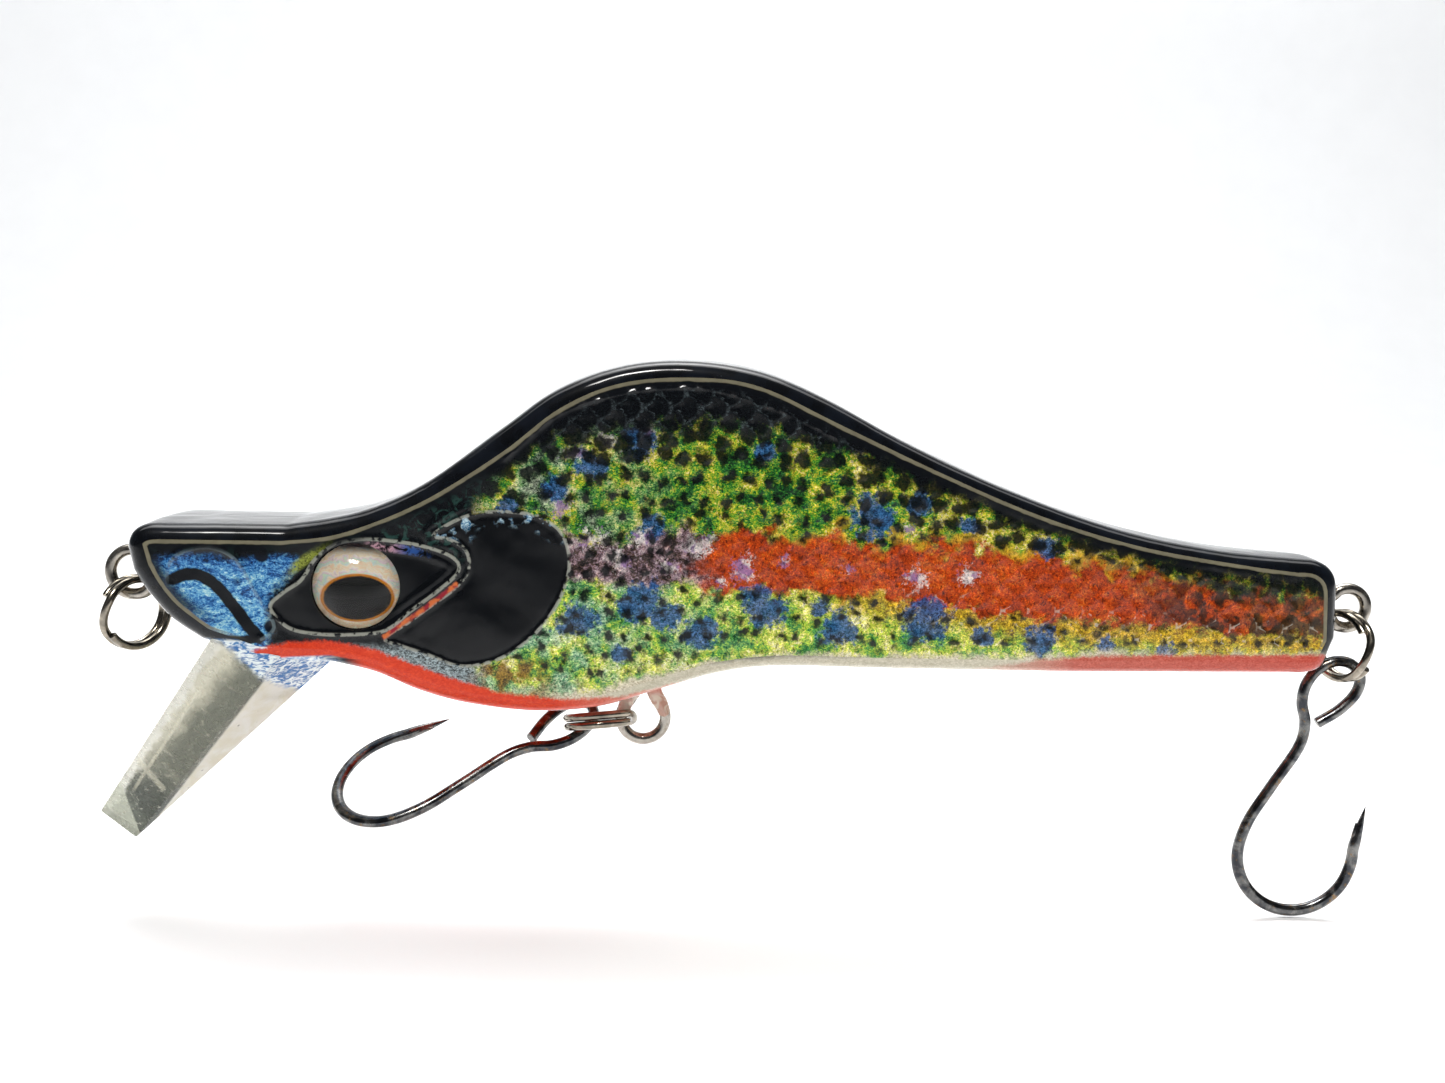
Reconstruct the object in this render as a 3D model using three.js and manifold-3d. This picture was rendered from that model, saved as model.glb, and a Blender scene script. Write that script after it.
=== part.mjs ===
// Crankbait lure: a hump-backed, flat-sided fish body split along its middle, with a clear diving
// lip, printed flank films, domed eyes, a through-wire, split rings and single hooks.
// Millimetres. Origin at the centre of the line-tie eye, +X to the tail, +Z to the back.
// The fish's left flank faces -Y.
import * as THREE from 'three';
import { mergeVertices } from 'three/addons/utils/BufferGeometryUtils.js';
import { ConvexGeometry } from 'three/addons/geometries/ConvexGeometry.js';
import Module from 'manifold-3d';

// ---- Driving dimensions ----
const NOSE_X = 1.5; // front of the body
const BODY_LENGTH = 100;
const NOSE_HALF_WIDTH = 6.0; // half thickness at the nose
const TAIL_HALF_WIDTH = 3.4; // half thickness at the tail
const EDGE_ROUND = 1.3; // rounding between the flat flanks and the edges
const GLUE = 0.02; // glue line between flat glued faces
const FIT = 0.3; // clearance round a piece set into the body
const FILM = 0.12; // thickness of the printed film
const WIRE_R = 0.5; // through-wire and hanger, 1 mm stainless
const RING_WIRE_R = 0.35; // split ring wire
const RING_R = 2.85; // split ring, centre line
const RING_PITCH = 0.74; // distance between a split ring's two coils
const HOOK_R = 0.48; // hook wire
const EYE_R = 3.45; // clear eye dome
const EYE_X = 19.65;
const EYE_Z = 0;
const EYE_DISC = 0.25; // thickness of the foil disc under the dome
const DOME_RIM = 0.85; // height of the dome's cylindrical rim
const DOME_CROWN = 1.75; // height of the dome above its rim
const SOCKET_DEPTH = 1.3;
const NOSE_EYE = { x: 0, z: 0, r: 1.9 };
const TAIL_EYE = { x: 103.5, z: -1.1, r: 1.7 };
const BELLY_EYE = { x: 42.9, z: -11.8, r: 1.9 };
const NOSE_LEG = 0.66; // the two legs of a wire eye lie this far off its middle
const LIP_TIP_HALF = 1.6; // half width of the lip at its tip
const SLOT_DIRECTION = new THREE.Vector2(0.6, 0.8); // the lip's tongue runs up and back
const TONGUE_ROOT = new THREE.Vector2(8.6, -5.8); // front corner of the tongue
const TONGUE_LENGTH = 4.4;
const TONGUE_THICKNESS = 3.4;

const GROOVE_HALF = WIRE_R + FIT; // half the width of the grooves for the wires
const NOSE_FOLD_END = 13.5; // where the wire's end folded back from the nose stops
const TAIL_FOLD_END = 91.5; // where the wire's end folded back from the tail stops
const BEYOND_TAIL = 110; // past the tail end, for cutting right through

const FLANK_SLOPE = (NOSE_HALF_WIDTH - TAIL_HALF_WIDTH) / BODY_LENGTH;
const FLANK_ANGLE = Math.atan(FLANK_SLOPE);
const halfWidth = (x) => NOSE_HALF_WIDTH - FLANK_SLOPE * (x - NOSE_X);

// ---- Materials ----
const finish = (color, roughness, metalness) =>
  new THREE.MeshStandardMaterial({ color, roughness, metalness });
const lacquer = finish(0x0b0d12, 0.12, 0);
const printed = finish(0x6f7a3c, 0.15, 0);
const iris = finish(0xd8b56a, 0.25, 0.6);
const clear = finish(0xe8e6da, 0.05, 0);
const acrylic = finish(0xcfcbb4, 0.1, 0);
const stainless = finish(0x9a948a, 0.25, 1);
const ringSteel = finish(0x8d8578, 0.22, 1);
const hookSteel = finish(0x2c2b2e, 0.28, 1);
const lead = finish(0x5b5d60, 0.6, 1);
const beech = finish(0xb98f5e, 0.7, 0);

// ---- Joining and cutting closed meshes ----
const wasm = await Module();
wasm.setup();

function solid(geometry) {
  const bare = geometry.clone();
  bare.deleteAttribute('normal');
  bare.deleteAttribute('uv');
  const merged = mergeVertices(bare, 1e-4);
  return new wasm.Manifold(new wasm.Mesh({
    numProp: 3,
    vertProperties: new Float32Array(merged.attributes.position.array),
    triVerts: new Uint32Array(merged.index.array),
  }));
}

function surface(manifold) {
  const mesh = manifold.getMesh();
  const geometry = new THREE.BufferGeometry();
  geometry.setAttribute('position', new THREE.BufferAttribute(mesh.vertProperties, 3));
  geometry.setIndex(new THREE.BufferAttribute(mesh.triVerts, 1));
  const faceted = geometry.toNonIndexed();
  faceted.computeVertexNormals();
  return faceted;
}

// ---- Shapes in the side view: x along the body, y up, stood upright and centred on the body ----
const points = (pairs) => pairs.map(([x, y]) => new THREE.Vector2(x, y));

function slab(shape, thickness, options = {}) {
  const geometry = new THREE.ExtrudeGeometry(shape, {
    depth: thickness, bevelEnabled: false, curveSegments: 3, ...options,
  });
  geometry.translate(0, 0, -thickness / 2);
  geometry.rotateX(Math.PI / 2);
  return geometry;
}

// Narrows a slab towards the tail, in proportion to the body's half width.
function taper(geometry) {
  const position = geometry.attributes.position;
  for (let i = 0; i < position.count; i += 1) {
    position.setY(i, position.getY(i) * halfWidth(position.getX(i)) / NOSE_HALF_WIDTH);
  }
  return geometry;
}

function block(x0, x1, y0, y1, z0, z1) {
  const geometry = new THREE.BoxGeometry(x1 - x0, y1 - y0, z1 - z0);
  return geometry.translate((x0 + x1) / 2, (y0 + y1) / 2, (z0 + z1) / 2);
}

// A round bar across the body, its axis along Y.
function crossBar(x, z, radius, length, sides = 20) {
  return new THREE.CylinderGeometry(radius, radius, length, sides).translate(x, 0, z);
}

// ---- Wires ----
// Every stretch between two points gets the same number of steps, so bends get more than straights.
class WirePath extends THREE.CatmullRomCurve3 {
  getUtoTmapping(u) {
    return u;
  }
}

function wire(path, radius, stepsEach, sides = 10) {
  const curve = new WirePath(path, false, 'centripetal');
  const section = new THREE.Shape().absarc(0, 0, radius, 0, 2 * Math.PI);
  return new THREE.ExtrudeGeometry(section, {
    steps: (path.length - 1) * stepsEach, extrudePath: curve, curveSegments: sides / 2,
  });
}

const flat = (x, z) => new THREE.Vector3(x, 0, z);

// Centre-line points round an eye, from one angle to another in degrees, 0 along +X.
function eyePoints(eye, from, to, count) {
  return Array.from({ length: count }, (_, i) => {
    const angle = THREE.MathUtils.degToRad(from + (to - from) * i / (count - 1));
    return flat(eye.x + eye.r * Math.cos(angle), eye.z + eye.r * Math.sin(angle));
  });
}

// ---- Body ----
function bodyOutline() {
  const tail = NOSE_X + BODY_LENGTH;
  const outline = new THREE.Shape();
  outline.moveTo(NOSE_X, 2.9);
  outline.quadraticCurveTo(NOSE_X + 0.1, 4.8, 3.9, 4.8);
  outline.lineTo(14, 4.85);
  outline.splineThru(points([
    [19.7, 5.95], [24.9, 8.3], [31, 12.8], [35.5, 16.1], [40.6, 18.1], [46, 18.7], [51.9, 18.0],
    [57.4, 15.9], [64.5, 12.3], [73.5, 8.5], [82.5, 5.6], [91.2, 4.0], [99, 3.4],
  ]));
  outline.quadraticCurveTo(tail - 0.4, 3.1, tail - 0.2, 1.2);
  outline.lineTo(tail, -3.2);
  outline.lineTo(tail - 0.8, -5.4);
  outline.quadraticCurveTo(tail - 1.2, -6.35, tail - 3, -6.35);
  outline.lineTo(78, -6.5);
  outline.splineThru(points([
    [62.7, -6.4], [54.3, -6.3], [49.3, -6.9], [44.3, -8.4], [39.4, -9.9], [34, -10.35],
    [28.5, -9.75], [24.6, -8.7], [21, -7.2], [17.6, -6.4],
  ]));
  outline.lineTo(11.6, -6.15);
  outline.lineTo(7.2, -4.6);
  outline.splineThru(points([[4.9, -3.0], [3.0, -0.8], [1.9, 1.0]]));
  outline.lineTo(NOSE_X, 2.9);
  return outline;
}

// The lip's tongue sits in a slot cut right across the body.
function tongueOutline(clearance) {
  const across = new THREE.Vector2(SLOT_DIRECTION.y, -SLOT_DIRECTION.x);
  const up = SLOT_DIRECTION.clone().multiplyScalar(TONGUE_LENGTH + clearance);
  const down = SLOT_DIRECTION.clone().multiplyScalar(-3 * clearance);
  const front = TONGUE_ROOT.clone().addScaledVector(across, -clearance);
  const rear = TONGUE_ROOT.clone().addScaledVector(across, TONGUE_THICKNESS + clearance);
  return new THREE.Shape([
    front.clone().add(down), rear.clone().add(down), rear.clone().add(up), front.clone().add(up),
  ]);
}

// Height of the through-wire's middle line, which runs straight from the nose eye to the tail eye.
const wireLine = (x) => TAIL_EYE.z * x / TAIL_EYE.x;

function throughWirePath() {
  const under = (x) => flat(x, wireLine(x) - NOSE_LEG);
  const over = (x) => flat(x, wireLine(x) + NOSE_LEG);
  return [
    under(13), under(8), under(3.6),
    ...eyePoints(NOSE_EYE, 325, 35, 11),
    over(3.6), over(8), over(30), over(75), over(97), over(100.2),
    ...eyePoints(TAIL_EYE, 145, -145, 11),
    under(100.2), under(97), under(92),
  ];
}

function hangerPath() {
  const left = (z) => flat(BELLY_EYE.x - NOSE_LEG, z);
  const right = (z) => flat(BELLY_EYE.x + NOSE_LEG, z);
  return [
    left(-3), left(-7), left(-8.9),
    ...eyePoints(BELLY_EYE, 125, 415, 11),
    right(-8.9), right(-7), right(-3),
  ];
}

const WEIGHTS = [
  { name: 'front_ballast', x: 31, z: -5.2, radius: 2.4, length: 6.4 },
  { name: 'rear_ballast', x: 55, z: -3.1, radius: 1.5, length: 5.6 },
];
const DOWELS = [
  { name: 'shoulder_dowel', x: 46, z: 10, radius: 1.5, length: 6 },
  { name: 'tail_dowel', x: 80, z: 2.4, radius: 1.0, length: 4 },
];

function eyeSocket(side) {
  const depth = SOCKET_DEPTH + 1;
  const socket = new THREE.CylinderGeometry(EYE_R + FIT, EYE_R + FIT, depth, 36);
  socket.translate(0, depth / 2 - SOCKET_DEPTH - FIT, 0);
  return onFlank(socket, side);
}

// Moves a piece made round +Y to the eye's place, with +Y square to the flank.
function onFlank(geometry, side) {
  if (side < 0) {
    geometry.rotateX(Math.PI);
  }
  geometry.rotateZ(-side * FLANK_ANGLE);
  return geometry.translate(EYE_X, side * halfWidth(EYE_X), EYE_Z);
}

function bodyBlank() {
  const depth = 2 * (NOSE_HALF_WIDTH - FILM - GLUE - EDGE_ROUND);
  return solid(taper(slab(bodyOutline(), depth, {
    bevelEnabled: true, bevelThickness: EDGE_ROUND, bevelSize: EDGE_ROUND,
    bevelOffset: -EDGE_ROUND, bevelSegments: 3,
  })));
}

// A groove for the through-wire, following its slope, between two distances off its middle line.
function groove(x0, x1, low, high) {
  const slope = new THREE.Matrix4().makeShear(0, TAIL_EYE.z / TAIL_EYE.x, 0, 0, 0, 0);
  return solid(block(x0, x1, -GROOVE_HALF, GROOVE_HALF, low, high).applyMatrix4(slope));
}

// Cuts the blank for the lip's tongue, the wire and its folded-back ends, the hanger and the bars.
function pocketed(blank) {
  const reach = NOSE_LEG + GROOVE_HALF;
  const hangerX = BELLY_EYE.x;
  let body = blank
    .subtract(solid(slab(tongueOutline(FIT), 4 * NOSE_HALF_WIDTH)))
    .subtract(groove(0, BEYOND_TAIL, -0.2, reach))
    .subtract(groove(0, NOSE_FOLD_END, -reach, 0))
    .subtract(groove(TAIL_FOLD_END, BEYOND_TAIL, -reach, 0))
    .subtract(groove(0, NOSE_X + 1.7, -2, 2))
    .subtract(solid(block(hangerX - reach, hangerX + reach, -GROOVE_HALF, GROOVE_HALF, -12, -2.7)));
  for (const bar of [...WEIGHTS, ...DOWELS]) {
    body = body.subtract(solid(crossBar(bar.x, bar.z, bar.radius + FIT, bar.length + 2 * FIT)));
  }
  return body;
}

// ---- Printed film ----
function filmOutline() {
  const outline = new THREE.Shape();
  outline.moveTo(3.0, 3.2);
  outline.quadraticCurveTo(3.2, 3.6, 4.4, 3.6);
  outline.lineTo(13.8, 3.62);
  outline.splineThru(points([
    [18.5, 4.3], [24.8, 6.9], [31.2, 11.0], [35.9, 14.7], [40.7, 16.8], [46.5, 17.4],
    [51.9, 16.8], [58.5, 13.9], [66.8, 10.2], [75.3, 6.8], [83.8, 4.4], [92.4, 3.0], [97.5, 2.4],
  ]));
  outline.quadraticCurveTo(100.1, 2.6, 100.2, 0.4);
  outline.lineTo(100.4, -3.4);
  outline.lineTo(99.6, -5.2);
  outline.lineTo(78, -5.35);
  outline.splineThru(points([
    [62, -5.3], [54.3, -5.2], [48.6, -5.9], [43.8, -7.4], [39, -8.8], [34, -9.2], [28.8, -8.6],
    [25, -7.5], [21.5, -6.0], [18, -5.2],
  ]));
  outline.lineTo(11.9, -5.0);
  outline.lineTo(8.0, -3.6);
  outline.splineThru(points([[5.6, -1.7], [4.2, 0.1], [3.4, 1.6]]));
  outline.lineTo(3.0, 3.2);
  return outline;
}

// The film lies on the flank: its outer face is at the body's half width.
function film(side) {
  const sheet = slab(filmOutline(), FILM);
  const position = sheet.attributes.position;
  for (let i = 0; i < position.count; i += 1) {
    const outer = position.getY(i) * side > 0;
    const scale = halfWidth(position.getX(i)) / NOSE_HALF_WIDTH;
    position.setY(i, side * (NOSE_HALF_WIDTH - (outer ? 0 : FILM)) * scale);
  }
  const opening = crossBar(EYE_X, EYE_Z, EYE_R + FIT / 2, 4 * NOSE_HALF_WIDTH, 36);
  return surface(solid(sheet).subtract(solid(opening)));
}

// ---- Diving lip: a thick clear blade, wedge-shaped, with a ridged rear face ----
function lip() {
  const across = (x, half, z) => [new THREE.Vector3(x, -half, z), new THREE.Vector3(x, half, z)];
  const rootHalf = halfWidth(10) - 0.1;
  const blade = new ConvexGeometry([
    ...across(7.4, rootHalf, -5.25),
    ...across(12.6, rootHalf - 0.1, -6.75),
    ...across(-2.8, LIP_TIP_HALF, -20.3),
    ...across(0.1, LIP_TIP_HALF, -22.6),
    ...across(16.5, 0.4, -7.4),
    ...across(2.9, 0.3, -19.5),
  ]);
  const tongue = slab(tongueOutline(0), 2 * (halfWidth(14) - 2 * FIT));
  return surface(solid(blade).add(solid(tongue)));
}

// ---- Eyes ----
function eyeDisc(side) {
  const disc = new THREE.CylinderGeometry(EYE_R - 0.05, EYE_R - 0.05, EYE_DISC, 32);
  return onFlank(disc.translate(0, EYE_DISC / 2 - SOCKET_DEPTH, 0), side);
}

function eyeDome(side) {
  const base = EYE_DISC + GLUE - SOCKET_DEPTH;
  const top = base + DOME_RIM + DOME_CROWN;
  const sphere = (EYE_R ** 2 + DOME_CROWN ** 2) / (2 * DOME_CROWN);
  const sweep = Math.asin(EYE_R / sphere);
  const steps = 6;
  const arc = Array.from({ length: steps + 1 }, (_, i) => {
    const angle = sweep * (1 - i / steps);
    return new THREE.Vector2(sphere * Math.sin(angle), top - sphere * (1 - Math.cos(angle)));
  });
  arc[steps].x = 0;
  const profile = [new THREE.Vector2(0, base), new THREE.Vector2(EYE_R, base), ...arc];
  return onFlank(new THREE.LatheGeometry(profile, 32), side);
}

// ---- Split rings: two flat coils joined by a short jog ----
// Angles in degrees: the wire's two ends, and the stretch where it climbs to the other coil.
const COIL = { start: 34, end: 686, jogStart: 328, jogEnd: 392, steps: 40 };

function splitRing() {
  const path = [];
  for (let i = 0; i <= COIL.steps; i += 1) {
    const degrees = COIL.start + (COIL.end - COIL.start) * i / COIL.steps;
    const lift = THREE.MathUtils.smoothstep(degrees, COIL.jogStart, COIL.jogEnd) - 0.5;
    const angle = THREE.MathUtils.degToRad(degrees);
    path.push(new THREE.Vector3(RING_R * Math.cos(angle), RING_PITCH * lift, RING_R * Math.sin(angle)));
  }
  return wire(path, RING_WIRE_R, 1, 8);
}

// ---- Hooks: an open eye, a kinked shank, a round bend and a barbed point ----
// In the hook's own frame the split ring passes through the origin and the bend is below.
const BEND = { x: -2.8, z: -15.9, r: 5.15 };
const HOOK_TIP = flat(3.2, -11.4);
const POINT_START = flat(2.42, -15.2); // where the round wire starts to narrow to the point
const POINT_R = 0.05;
const BARB = { x: 2.62, z: -13.3, radius: 0.3, length: 2.0, lean: -16 };

function hookShape() {
  const path = [
    flat(-1.75, -3.95), flat(0.2, -2.65), flat(1.5, -1.1), flat(1.7, 0.2), flat(0.9, 1.3),
    flat(-0.5, 1.6), flat(-2.0, 0.9), flat(-3.0, -0.5), flat(-3.25, -2.1), flat(-2.85, -3.9),
    flat(-3.1, -5.8), flat(-5.5, -9.9), flat(-7.3, -13.1), ...eyePoints(BEND, 178, 350, 9), POINT_START,
  ];
  const shank = solid(wire(path, HOOK_R, 2));
  const direction = HOOK_TIP.clone().sub(POINT_START);
  const length = direction.length();
  const point = new THREE.CylinderGeometry(POINT_R, HOOK_R * 0.98, length, 10);
  point.translate(0, length / 2 - POINT_R, 0);
  const upright = new THREE.Vector3(0, 1, 0);
  const turn = new THREE.Quaternion().setFromUnitVectors(upright, direction.normalize());
  point.applyQuaternion(turn).translate(POINT_START.x, 0, POINT_START.z);
  const barb = new THREE.CylinderGeometry(0.1 * BARB.radius, BARB.radius, BARB.length, 8);
  barb.translate(0, BARB.length / 2, 0).rotateX(-Math.PI / 2);
  barb.rotateY(THREE.MathUtils.degToRad(BARB.lean)).translate(BARB.x, 0, BARB.z);
  return surface(shank.add(solid(point)).add(solid(barb)));
}

// ---- Assembly ----
const group = new THREE.Group();
group.name = 'crankbait_lure';

function add(name, geometry, material, parent = group) {
  const mesh = new THREE.Mesh(geometry, material);
  mesh.name = name;
  parent.add(mesh);
  return mesh;
}

const body = pocketed(bodyBlank());
for (const [name, side] of [['left', -1], ['right', 1]]) {
  const nearFace = side * GLUE / 2;
  const farFace = side * 1.5 * NOSE_HALF_WIDTH;
  const keep = block(-5, BEYOND_TAIL, Math.min(nearFace, farFace), Math.max(nearFace, farFace), -15, 25);
  add(`${name}_body_half`, surface(body.intersect(solid(keep)).subtract(solid(eyeSocket(side)))), lacquer);
  add(`${name}_print_film`, film(side), printed);
  add(`${name}_eye_disc`, eyeDisc(side), iris);
  add(`${name}_eye_dome`, eyeDome(side), clear);
}

add('diving_lip', lip(), acrylic);
add('through_wire', wire(throughWirePath(), WIRE_R, 2), stainless);
add('belly_hanger', wire(hangerPath(), WIRE_R, 2), stainless);
for (const bar of WEIGHTS) {
  add(bar.name, crossBar(bar.x, bar.z, bar.radius, bar.length), lead);
}
for (const bar of DOWELS) {
  add(bar.name, crossBar(bar.x, bar.z, bar.radius, bar.length), beech);
}

// A ring or hook in its own group, placed in millimetres and turned in degrees.
function place(name, geometry, material, position, rotation) {
  const frame = new THREE.Group();
  frame.position.set(...position);
  frame.rotation.set(...rotation.map(THREE.MathUtils.degToRad), 'YXZ');
  group.add(frame);
  return add(name, geometry, material, frame);
}

place('nose_split_ring', splitRing(), ringSteel, [0, 0, -3.45], [0, 0, -126.2]);
place('belly_split_ring', splitRing(), ringSteel, [39.25, 0, -12.1], [76, -6, 0]);
place('tail_split_ring', splitRing(), ringSteel, [103.42, 0, -4.4], [0, 0, -68]);
place('belly_hook', hookShape(), hookSteel, [37.0, 1.5, -12.1], [1.7, 75.8, 116.9]);
place('tail_hook', hookShape(), hookSteel, [103.55, 0, -7.4], [0, 0, 0]);

export default group;
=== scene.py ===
"""A crankbait lure in a plain studio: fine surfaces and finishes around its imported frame.

Shapes are worked out in millimetres, in the frame's axes: +X to the tail, +Z to the back, the
left flank towards -Y, and the origin at the centre of the nose eye.
"""
import math

import bmesh
import bpy
import numpy as np
from mathutils import Matrix, Vector
from mathutils.geometry import delaunay_2d_cdt
from mathutils.kdtree import KDTree


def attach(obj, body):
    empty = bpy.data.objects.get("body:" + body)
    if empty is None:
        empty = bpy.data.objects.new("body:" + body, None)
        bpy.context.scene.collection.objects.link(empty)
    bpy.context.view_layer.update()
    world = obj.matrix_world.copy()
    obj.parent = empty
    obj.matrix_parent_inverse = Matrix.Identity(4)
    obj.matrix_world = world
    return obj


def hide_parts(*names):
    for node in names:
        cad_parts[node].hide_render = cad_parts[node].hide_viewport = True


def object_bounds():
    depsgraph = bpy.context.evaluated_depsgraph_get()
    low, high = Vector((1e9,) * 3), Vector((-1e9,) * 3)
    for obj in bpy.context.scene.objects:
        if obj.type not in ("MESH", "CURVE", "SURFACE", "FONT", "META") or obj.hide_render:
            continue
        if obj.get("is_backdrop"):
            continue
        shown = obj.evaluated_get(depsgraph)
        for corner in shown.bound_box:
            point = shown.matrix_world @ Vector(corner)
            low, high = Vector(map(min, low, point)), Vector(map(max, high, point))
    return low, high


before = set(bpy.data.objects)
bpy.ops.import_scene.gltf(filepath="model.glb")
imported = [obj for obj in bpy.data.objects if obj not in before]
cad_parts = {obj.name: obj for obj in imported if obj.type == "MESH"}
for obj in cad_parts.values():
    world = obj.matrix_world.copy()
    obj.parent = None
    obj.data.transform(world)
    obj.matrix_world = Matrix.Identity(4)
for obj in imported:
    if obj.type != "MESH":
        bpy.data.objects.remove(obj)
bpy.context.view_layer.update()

MM = 0.001
NOSE_X = 1.5
BODY_LENGTH = 100.0
NOSE_HALF_WIDTH = 6.0
TAIL_HALF_WIDTH = 3.4
EDGE_ROUND = 1.3
FILM = 0.12
EYE = np.array([19.65, 0.0])
EYE_R = 3.45
SOCKET_DEPTH = 1.3
FLANK_SLOPE = (NOSE_HALF_WIDTH - TAIL_HALF_WIDTH) / BODY_LENGTH
GRID = 0.24  # spacing of the flank's points
WIRE_R = 0.5
RING_WIRE_R = 0.35
RING_R = 2.85
RING_PITCH = 0.74
HOOK_R = 0.48
NOSE_EYE = (0, 0, 1.9)  # x, z and radius of each wire eye's middle line
TAIL_EYE = (103.5, -1.1, 1.7)
BELLY_EYE = (42.9, -11.8, 1.9)
NOSE_LEG = 0.66


# ---------------------------------------------------------------- curves and distances
def spline_through(points, steps=8):
    """Points on a uniform Catmull-Rom curve through the given ones."""
    pts = np.array(points, float)
    padded = np.vstack([pts[:1], pts, pts[-1:]])
    t = (np.arange(steps) / steps)[:, None]
    rows = []
    for a, b, c, d in zip(padded, padded[1:], padded[2:], padded[3:]):
        v0, v1 = (c - a) / 2, (d - b) / 2
        rows.append((2 * b - 2 * c + v0 + v1) * t ** 3 + (3 * c - 3 * b - 2 * v0 - v1) * t ** 2 + v0 * t + b)
    return np.vstack(rows + [pts[-1:]])


def spline_round(points, steps=8):
    """Points on a closed Catmull-Rom curve through the given ones."""
    pts = np.array(points, float)
    count = len(pts)
    path = spline_through(np.vstack([pts[-2:], pts, pts[:2]]), steps)
    return path[2 * steps:(count + 2) * steps]


def quadratic(start, control, end, steps=8):
    t = (np.arange(steps + 1) / steps)[:, None]
    a, b, c = (np.array(p, float) for p in (start, control, end))
    return (1 - t) ** 2 * a + 2 * t * (1 - t) * b + t ** 2 * c


def resample(path, spacing, closed=True):
    """The path again, with evenly spaced points."""
    if closed:
        path = np.vstack([path, path[:1]])
    lengths = np.r_[0, np.cumsum(np.linalg.norm(np.diff(path, axis=0), axis=1))]
    count = max(3, int(round(lengths[-1] / spacing)))
    at = np.linspace(0, lengths[-1], count + 1)
    if closed:
        at = at[:-1]
    return np.stack([np.interp(at, lengths, path[:, k]) for k in range(path.shape[1])], axis=1)


def distance_to(points, path, closed=False):
    """How far each point lies from a polyline."""
    if closed:
        path = np.vstack([path, path[:1]])
    a, step = path[:-1], np.diff(path, axis=0)
    size = (step ** 2).sum(1)
    best = np.empty(len(points))
    for i in range(0, len(points), 3000):
        offset = points[i:i + 3000, None, :] - a[None]
        t = np.clip((offset * step).sum(2) / size, 0, 1)
        gap = offset - t[..., None] * step
        best[i:i + 3000] = np.sqrt((gap ** 2).sum(2).min(1))
    return best


def inside(points, loop):
    """True for each point that lies within a closed loop."""
    x0, z0 = loop[:, 0], loop[:, 1]
    x1, z1 = np.roll(x0, -1), np.roll(z0, -1)
    result = np.zeros(len(points), bool)
    for i in range(0, len(points), 3000):
        px, pz = points[i:i + 3000, 0:1], points[i:i + 3000, 1:2]
        spans = (z0 > pz) != (z1 > pz)
        cross = x0 + (pz - z0) / np.where(z1 == z0, 1e-9, z1 - z0) * (x1 - x0)
        result[i:i + 3000] = (spans & (px < cross)).sum(1) % 2 == 1
    return result


def signed_distance(points, loop):
    """Distance to a closed loop, positive inside it."""
    return distance_to(points, loop, closed=True) * np.where(inside(points, loop), 1, -1)


def smooth(value, low, high):
    t = np.clip((value - low) / (high - low), 0, 1)
    return t * t * (3 - 2 * t)


# ---------------------------------------------------------------- the body's outlines
def body_outline():
    tail = NOSE_X + BODY_LENGTH
    nose = quadratic((NOSE_X, 2.9), (NOSE_X + 0.1, 4.8), (3.9, 4.8))
    back = spline_through([
        (14, 4.85), (19.7, 5.95), (24.9, 8.3), (31, 12.8), (35.5, 16.1), (40.6, 18.1), (46, 18.7),
        (51.9, 18.0), (57.4, 15.9), (64.5, 12.3), (73.5, 8.5), (82.5, 5.6), (91.2, 4.0), (99, 3.4)])
    tail_top = quadratic((99, 3.4), (tail - 0.4, 3.1), (tail - 0.2, 1.2))
    tail_low = quadratic((tail - 0.8, -5.4), (tail - 1.2, -6.35), (tail - 3, -6.35))
    belly = spline_through([
        (78, -6.5), (62.7, -6.4), (54.3, -6.3), (49.3, -6.9), (44.3, -8.4), (39.4, -9.9),
        (34, -10.35), (28.5, -9.75), (24.6, -8.7), (21, -7.2), (17.6, -6.4)])
    chin = spline_through([(7.2, -4.6), (4.9, -3.0), (3.0, -0.8), (1.9, 1.0)])
    return np.vstack([nose, back, tail_top[1:], [[tail, -3.2]], tail_low, belly, [[11.6, -6.15]], chin])


def film_outline():
    nose = quadratic((3.0, 3.2), (3.2, 3.6), (4.4, 3.6))
    back = spline_through([
        (13.8, 3.62), (18.5, 4.3), (24.8, 6.9), (31.2, 11.0), (35.9, 14.7), (40.7, 16.8),
        (46.5, 17.4), (51.9, 16.8), (58.5, 13.9), (66.8, 10.2), (75.3, 6.8), (83.8, 4.4),
        (92.4, 3.0), (97.5, 2.4)])
    tail = quadratic((97.5, 2.4), (100.1, 2.6), (100.2, 0.4))
    belly = spline_through([
        (78, -5.35), (62, -5.3), (54.3, -5.2), (48.6, -5.9), (43.8, -7.4), (39, -8.8), (34, -9.2),
        (28.8, -8.6), (25, -7.5), (21.5, -6.0), (18, -5.2)])
    chin = spline_through([(8.0, -3.6), (5.6, -1.7), (4.2, 0.1), (3.4, 1.6)])
    return np.vstack([nose, back, tail[1:], [[100.4, -3.4], [99.6, -5.2]], belly, [[11.9, -5.0]], chin])


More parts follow.
